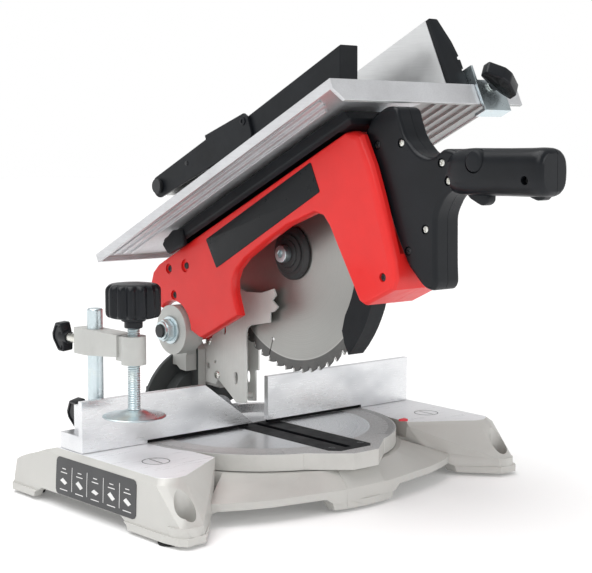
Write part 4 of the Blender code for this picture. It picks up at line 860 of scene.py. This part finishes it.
piece("saw_blade_disc", disc, "blade", "arbor", HEAD, smooth=25, stands_for=("saw_blade",))
tips = merge(*tips)
bmesh.ops.transform(tips, matrix=Matrix.Translation((0, -ARBOR[0], ARBOR[1])), verts=tips.verts)
piece("blade_tips", tips, "carbide", "arbor", HEAD, smooth=25)
piece("flange_step", lathe("x", (-ARBOR[0], ARBOR[1]), [(12.2, -6.0), (16.4, -6.0), (16.8, -6.6), (16.4, -7.4), (13.0, -8.0), (12.2, -7.6)], 44), "flange", "arbor", HEAD)

# ---------------------------------------------------------------- motor side
MU, MV = 114.5, 40.0
ribs = []
for i in range(24):
    b = block((56, 108), (33.6, 35.3), (-1.1, 1.1))
    bmesh.ops.transform(b, matrix=Matrix.Translation((0, -MU, MV)) @ Matrix.Rotation(math.radians(15 * i + 7.5), 4, "X"), verts=b.verts)
    ribs.append(b)
piece("motor_ribs", merge(*ribs), "black", "head", HEAD, 0.3, 2)
for i, turn in enumerate((90, 270)):
    cap = lathe("y", (100, 0), [(0, 38.2), (4.6, 38.2), (6.2, 37.4), (6.6, 36.2), (6.6, 33.2), (0, 33.2)], 28)
    cap = cut(cap, block((94, 106), (37.2, 40), (-0.7, 0.7)))
    bmesh.ops.transform(cap, matrix=Matrix.Translation((0, -MU, MV)) @ Matrix.Rotation(math.radians(turn), 4, "X"), verts=cap.verts)
    piece(f"brush_cap_{i + 1}", cap, "satin", "head", HEAD, smooth=28)
for i in range(3):
    a = math.radians(120 * i + 30)
    cross_screw(f"end_cap_screw_{i + 1}", (135.6, -MU + 18.5 * math.cos(a), MV + 18.5 * math.sin(a)), "x", 1, 3.0, 1.6, "screw", "head", HEAD, 20 + 35 * i)
for i, (u, v) in enumerate(((287, 40), (268, -50), (30, 48), (250, 40), (200, 52))):
    cross_screw(f"housing_screw_{i + 1}", (30, -u, v), "x", 1, 3.2, 1.6, "screw", "head", HEAD, 10 + 33 * i)

# ---------------------------------------------------------------- hold-down clamp
PX, PY, CY = -164.0, 18.0, -39.5


def lobed(r, dip, z, n=168, lobes=14):
    out = []
    for i in range(n):
        a = 2 * math.pi * i / n
        k = r - dip * (0.5 - 0.5 * math.cos(lobes * a)) ** 1.6
        out.append((PX + k * math.cos(a), CY + k * math.sin(a), z))
    return out


piece("clamp_knob_moulding", loft([lobed(5.6, 0, 155.5), lobed(7.0, 0, 155.6), lobed(7.4, 0, 156.2), lobed(7.4, 0, 160.4), lobed(9.6, 0, 161.2), lobed(10.2, 0, 163.2), lobed(17.0, 0.4, 163.8),
                                  lobed(20.6, 1.6, 164.8), lobed(21.9, 2.3, 166.4), lobed(22.4, 2.5, 168.5), lobed(22.4, 2.5, 185.5), lobed(22.1, 2.4, 187.4), lobed(21.2, 2.1, 189.0),
                                  lobed(19.6, 1.2, 190.4), lobed(17.8, 0.4, 191.1), lobed(14.0, 0, 191.55), lobed(7.0, 0, 191.95), lobed(1.0, 0, 192.0)]),
      "satin", "clamp_feed", STAND, smooth=50, stands_for=("clamp_knob",))


def thread(at, lo, hi, r, depth, pitch, sides=28, per=8):
    """A rod with a helical thread, plain at both ends."""
    rings = []
    rows = int((hi - lo) / pitch * per)
    for j in range(rows + 1):
        z = lo + (hi - lo) * j / rows
        fade = min(1.0, (z - lo) / pitch, (hi - z) / pitch)
        row = []
        for i in range(sides):
            a = 2 * math.pi * i / sides
            t = (z / pitch - i / sides) % 1.0
            k = r - depth * fade * min(1.0, max(0.0, abs(t - 0.5) * 2.4 - 0.2))
            row.append((at[0] + k * math.cos(a), at[1] + k * math.sin(a), z))
        rings.append(row)
    return loft(rings)


piece("clamp_screw_thread", merge(thread((PX, CY), 89.3, 163.6, 5.2, 0.75, 1.9), lathe("z", (PX, CY), [(0, 85), (2.6, 85), (3, 85.4), (3, 90), (0, 90)], 24)),
      "zinc", "clamp_feed", STAND, smooth=60, stands_for=("clamp_screw",))
piece("clamp_pad_disc", lathe("z", (PX, CY), [(3.3, 89.0), (5.5, 89.0), (7.6, 88.9), (9.4, 88.3), (11.2, 87.4), (13.4, 86.5), (16.0, 85.8), (19.5, 85.2), (23.0, 84.8), (25.2, 84.5), (25.8, 84.0), (25.6, 83.4), (24.6, 83.0), (3.3, 83.0)], 56),
      "zinc", "clamp_feed", STAND, smooth=50, stands_for=("clamp_pad",))


def wing_knob(name, axis, at, lo, hi, screw, half, turn, body, space, node, neck=5.2, thick=4.9):
    """A two-winged knob: its outer face is a low roof, and its flat sides are hollowed inside a rim."""
    near, far = (lo, hi) if abs(screw[0] - lo) < abs(screw[0] - hi) else (hi, lo)
    k = 1 if far > near else -1
    deep = abs(far - near)
    side = rounded([(-half, 0.10 * deep), (-0.42 * half, 0), (0.42 * half, 0), (half, 0.10 * deep), (half, 0.60 * deep), (0.22 * half, deep), (-0.22 * half, deep), (-half, 0.60 * deep)], 1.5, 4)
    wings = pillow("y", -thick, thick, side, 1.1, 1.1, 4)
    hollow = inset(side, 2.3)
    wings = cut(wings, pillow("y", thick - 0.9, thick + 3, hollow), pillow("y", -thick - 3, 0.9 - thick, hollow))
    hub = lathe("z", (0, 0), [(0, -3.5), (neck * 0.86, -3.5), (neck, -2.7), (neck + 0.8, 2.5), (neck + 0.8, deep * 0.4), (0, deep * 0.4)], 28)
    knob = join(wings, hub)
    bmesh.ops.transform(knob, matrix=Matrix.Translation(lay(axis, at[0], at[1], near)) @ facing(axis, k) @ Matrix.Rotation(math.radians(turn), 4, "Z"), verts=knob.verts)
    piece(name, knob, "satin", body, space, smooth=30, stands_for=(node,))
    root = near - k * 3.5
    tip = min(screw) if k > 0 else max(screw)
    piece(name + "_stud", lathe(axis, at, [(0, tip), (3.4, tip), (3.9, tip + k * 0.6), (3.9, root + k * 0.4), (0, root + k * 0.4)], 24), "screw", body, space)


wing_knob("clamp_wing", "y", (PX, 137), 62, 80, (25.4, 64), 12.5, 84, "clamp_wing", STAND, "clamp_wing_screw")
wing_knob("post_knob", "y", (PX, 72), 35, 57, (25.4, 38), 14, 76, "post_knob", STAND, "post_lock_knob")
wing_knob("rip_knob", "y", (88, 84.5), -357, -342, (-334.2, -350), 17, -38, "rip_knob", HEAD, "rip_fence_knob", 5.2, 6.4)
wing_knob("table_knob", "x", (-262, 45), 40, 52, (26.2, 42), 15, 90, "table_knob", HEAD, "table_lock_knob")

# ---------------------------------------------------------------- blade channel, hinge and spring
for i, (y, z) in enumerate(((68.4, 118.0), (55.0, 87.7))):
    cross_screw(f"channel_screw_{i + 1}", (-8, y, z), "x", -1, 3.9, 1.9, "screw", "bevel_arm", STAND, 25 + 40 * i, True, 0.1)
turns, per, coil = 4, 28, []
for i in range(turns * per + 1):
    a = 2 * math.pi * i / per
    cx, cy, cz = 31.5 + 12.0 * i / (turns * per), 78 + 11.5 * math.cos(a), 131 + 11.5 * math.sin(a)
    coil.append([(cx + math.cos(b), cy + math.sin(b) * math.cos(a), cz + math.sin(b) * math.sin(a)) for b in (2 * math.pi * j / 10 for j in range(10))])
piece("return_spring_wire", loft(coil), "steel", "bevel_arm", STAND, smooth=60, stands_for=("return_spring",))

# ---------------------------------------------------------------- stand and turntable markings
for i, (x, y) in enumerate(((21.0, -112.5), (-17.0, -112.5))):
    cross_screw(f"insert_screw_{i + 1}", (x * 0.86, y, 48.35), "z", 1, 3.0, 0.35, "dark", "turntable", STAND, 30 + 40 * i, False, 0.2)
web = []
for z, front, back in ((3.4, -139.6, -132.5), (19.4, -139.5, -128.0), (21.0, -138.4, -127.6), (33.6, -127.2, -122.0)):
    web.append([(-21.0, front, z), (21.0, front, z), (21.0, back, z), (-21.0, back, z)])
piece("apron_middle", loft(web), "base", "stand", STAND, smooth=30)
ticks = []
for side in (1, -1):
    for d in range(0, 61):
        a = math.radians(-d if side > 0 else 180 + d)
        long = 12 if d % 15 == 0 else (9 if d % 5 == 0 else 5.5)
        b = block((121 - long, 121), (-0.16, 0.16), (48.45, 48.68))
        bmesh.ops.transform(b, matrix=Matrix.Rotation(a, 4, "Z"), verts=b.verts)
        ticks.append(b)
piece("mitre_scale", merge(*ticks), "mark", "turntable", STAND)


def oval(cx, cy, ra, rb, turn, n=48):
    c, s = math.cos(math.radians(turn)), math.sin(math.radians(turn))
    return [(cx + ra * math.cos(t) * c - rb * math.sin(t) * s, cy + ra * math.cos(t) * s + rb * math.sin(t) * c) for t in (2 * math.pi * i / n for i in range(n))]


# Black strips under the fence halves are painted shadow, standing for the dark gap between fence and turntable.
for name, x0, x1 in (("fence_shadow_strip_left", -124, -14), ("fence_shadow_strip_right", 9, 124)):
    piece(name, block((x0, x1), (1.2, 4.6), (48.95, 51.5)), "shadow", "stand", STAND)
for name, cx in (("wing_mark_left", -156), ("wing_mark_right", 155)):
    mark = flat("z", 48.5, 48.72, oval(cx, -58, 11.5, 11.5, 0), [oval(cx, -58, 10.6, 10.6, 0)])
    mark = merge(mark, flat("z", 48.5, 48.7, [(cx - 0.5, -67), (cx + 0.5, -67), (cx + 0.5, -49), (cx - 0.5, -49)]))
    piece(name, mark, "mark", "stand", STAND)

# Chart plate on the left end of the base, laid on the casting's own surface
bm = bmesh.new()
bm.from_mesh(NODES["base"].data)
skin = BVHTree.FromBMesh(bm)
bm.free()


def on_end(y, z, off):
    """A point on the left end of the base, and a little proud of it."""
    start = STAND @ (Vector((-300, y, z)) * MM)
    hit, normal, _, _ = skin.ray_cast(start, Vector((1, 0, 0)))
    back = STAND.inverted() @ hit / MM
    return (back.x - off, y, z)


def laid(outline, thick, lift):
    """A thin plate over an outline on the base's end, following its surface."""
    rings = [[on_end(y, z, lift - 0.25) for y, z in outline], [on_end(y, z, lift + thick * 0.6) for y, z in outline], [on_end(y, z, lift + thick) for y, z in inset(outline, thick * 0.5)]]
    return loft(rings)


def strip(y0, y1, z0, z1, n=1):
    """A rectangle with points along its long sides."""
    return [(y0 + (y1 - y0) * i / n, z0) for i in range(n + 1)] + [(y1 + (y0 - y1) * i / n, z1) for i in range(n + 1)]


def sheet(y0, y1, z0, z1, ny, nz, thick):
    """A thin plate over a rectangle of the base's end, bent to its surface, with clipped corners."""
    bm = bmesh.new()
    rows = []
    for off in (-0.25, thick):
        grid = []
        for i in range(ny + 1):
            for j in range(nz + 1):
                y, z = y0 + (y1 - y0) * i / ny, z0 + (z1 - z0) * j / nz
                if i in (0, ny) and j in (0, nz):
                    y, z = y + (1.4 if (i == 0) == (y1 > y0) else -1.4), z + (1.0 if j == 0 else -1.0)
                grid.append(bm.verts.new(on_end(y, z, off)))
        rows.append(grid)
    at = lambda k, i, j: rows[k][i * (nz + 1) + j]
    for i in range(ny):
        for j in range(nz):
            for k in (0, 1):
                bm.faces.new([at(k, i, j), at(k, i + 1, j), at(k, i + 1, j + 1), at(k, i, j + 1)])
    edge = [(i, 0) for i in range(ny)] + [(ny, j) for j in range(nz)] + [(i, nz) for i in range(ny, 0, -1)] + [(0, j) for j in range(nz, 0, -1)]
    for a, b in zip(edge, edge[1:] + edge[:1]):
        bm.faces.new([at(0, *a), at(0, *b), at(1, *b), at(1, *a)])
    bmesh.ops.recalc_face_normals(bm, faces=bm.faces)
    return bm


piece("chart_plate", sheet(29, -84.5, 12.5, 43.6, 30, 9, 0.5), "chart", "stand", STAND, smooth=40)
rules = [laid([(y + 0.3, 17.5 + 2.5 * i) for i in range(9)] + [(y - 0.3, 37.5 - 2.5 * i) for i in range(9)], 0.15, 0.55) for y in (5, -17, -40.3, -62.6)]
for y, lean in ((17, 0.0), (-6, 1.2), (-28.6, -1.2), (-51.4, 1.2), (-73, 0.6)):
    for z, half in ((34.6, 2.6), (31.4, 4.6), (17.0, 5.6)):
        rules.append(laid(strip(y + half, y - half, z - 0.35, z + 0.35, 6), 0.15, 0.55))
    rules.append(laid([(y + 5.2, 24.2 + lean), (y - 1.6, 21.4), (y - 5.2, 23.6), (y + 1.4, 26.8 + lean)], 0.15, 0.55))
piece("chart_lines", merge(*rules), "ink", "stand", STAND)
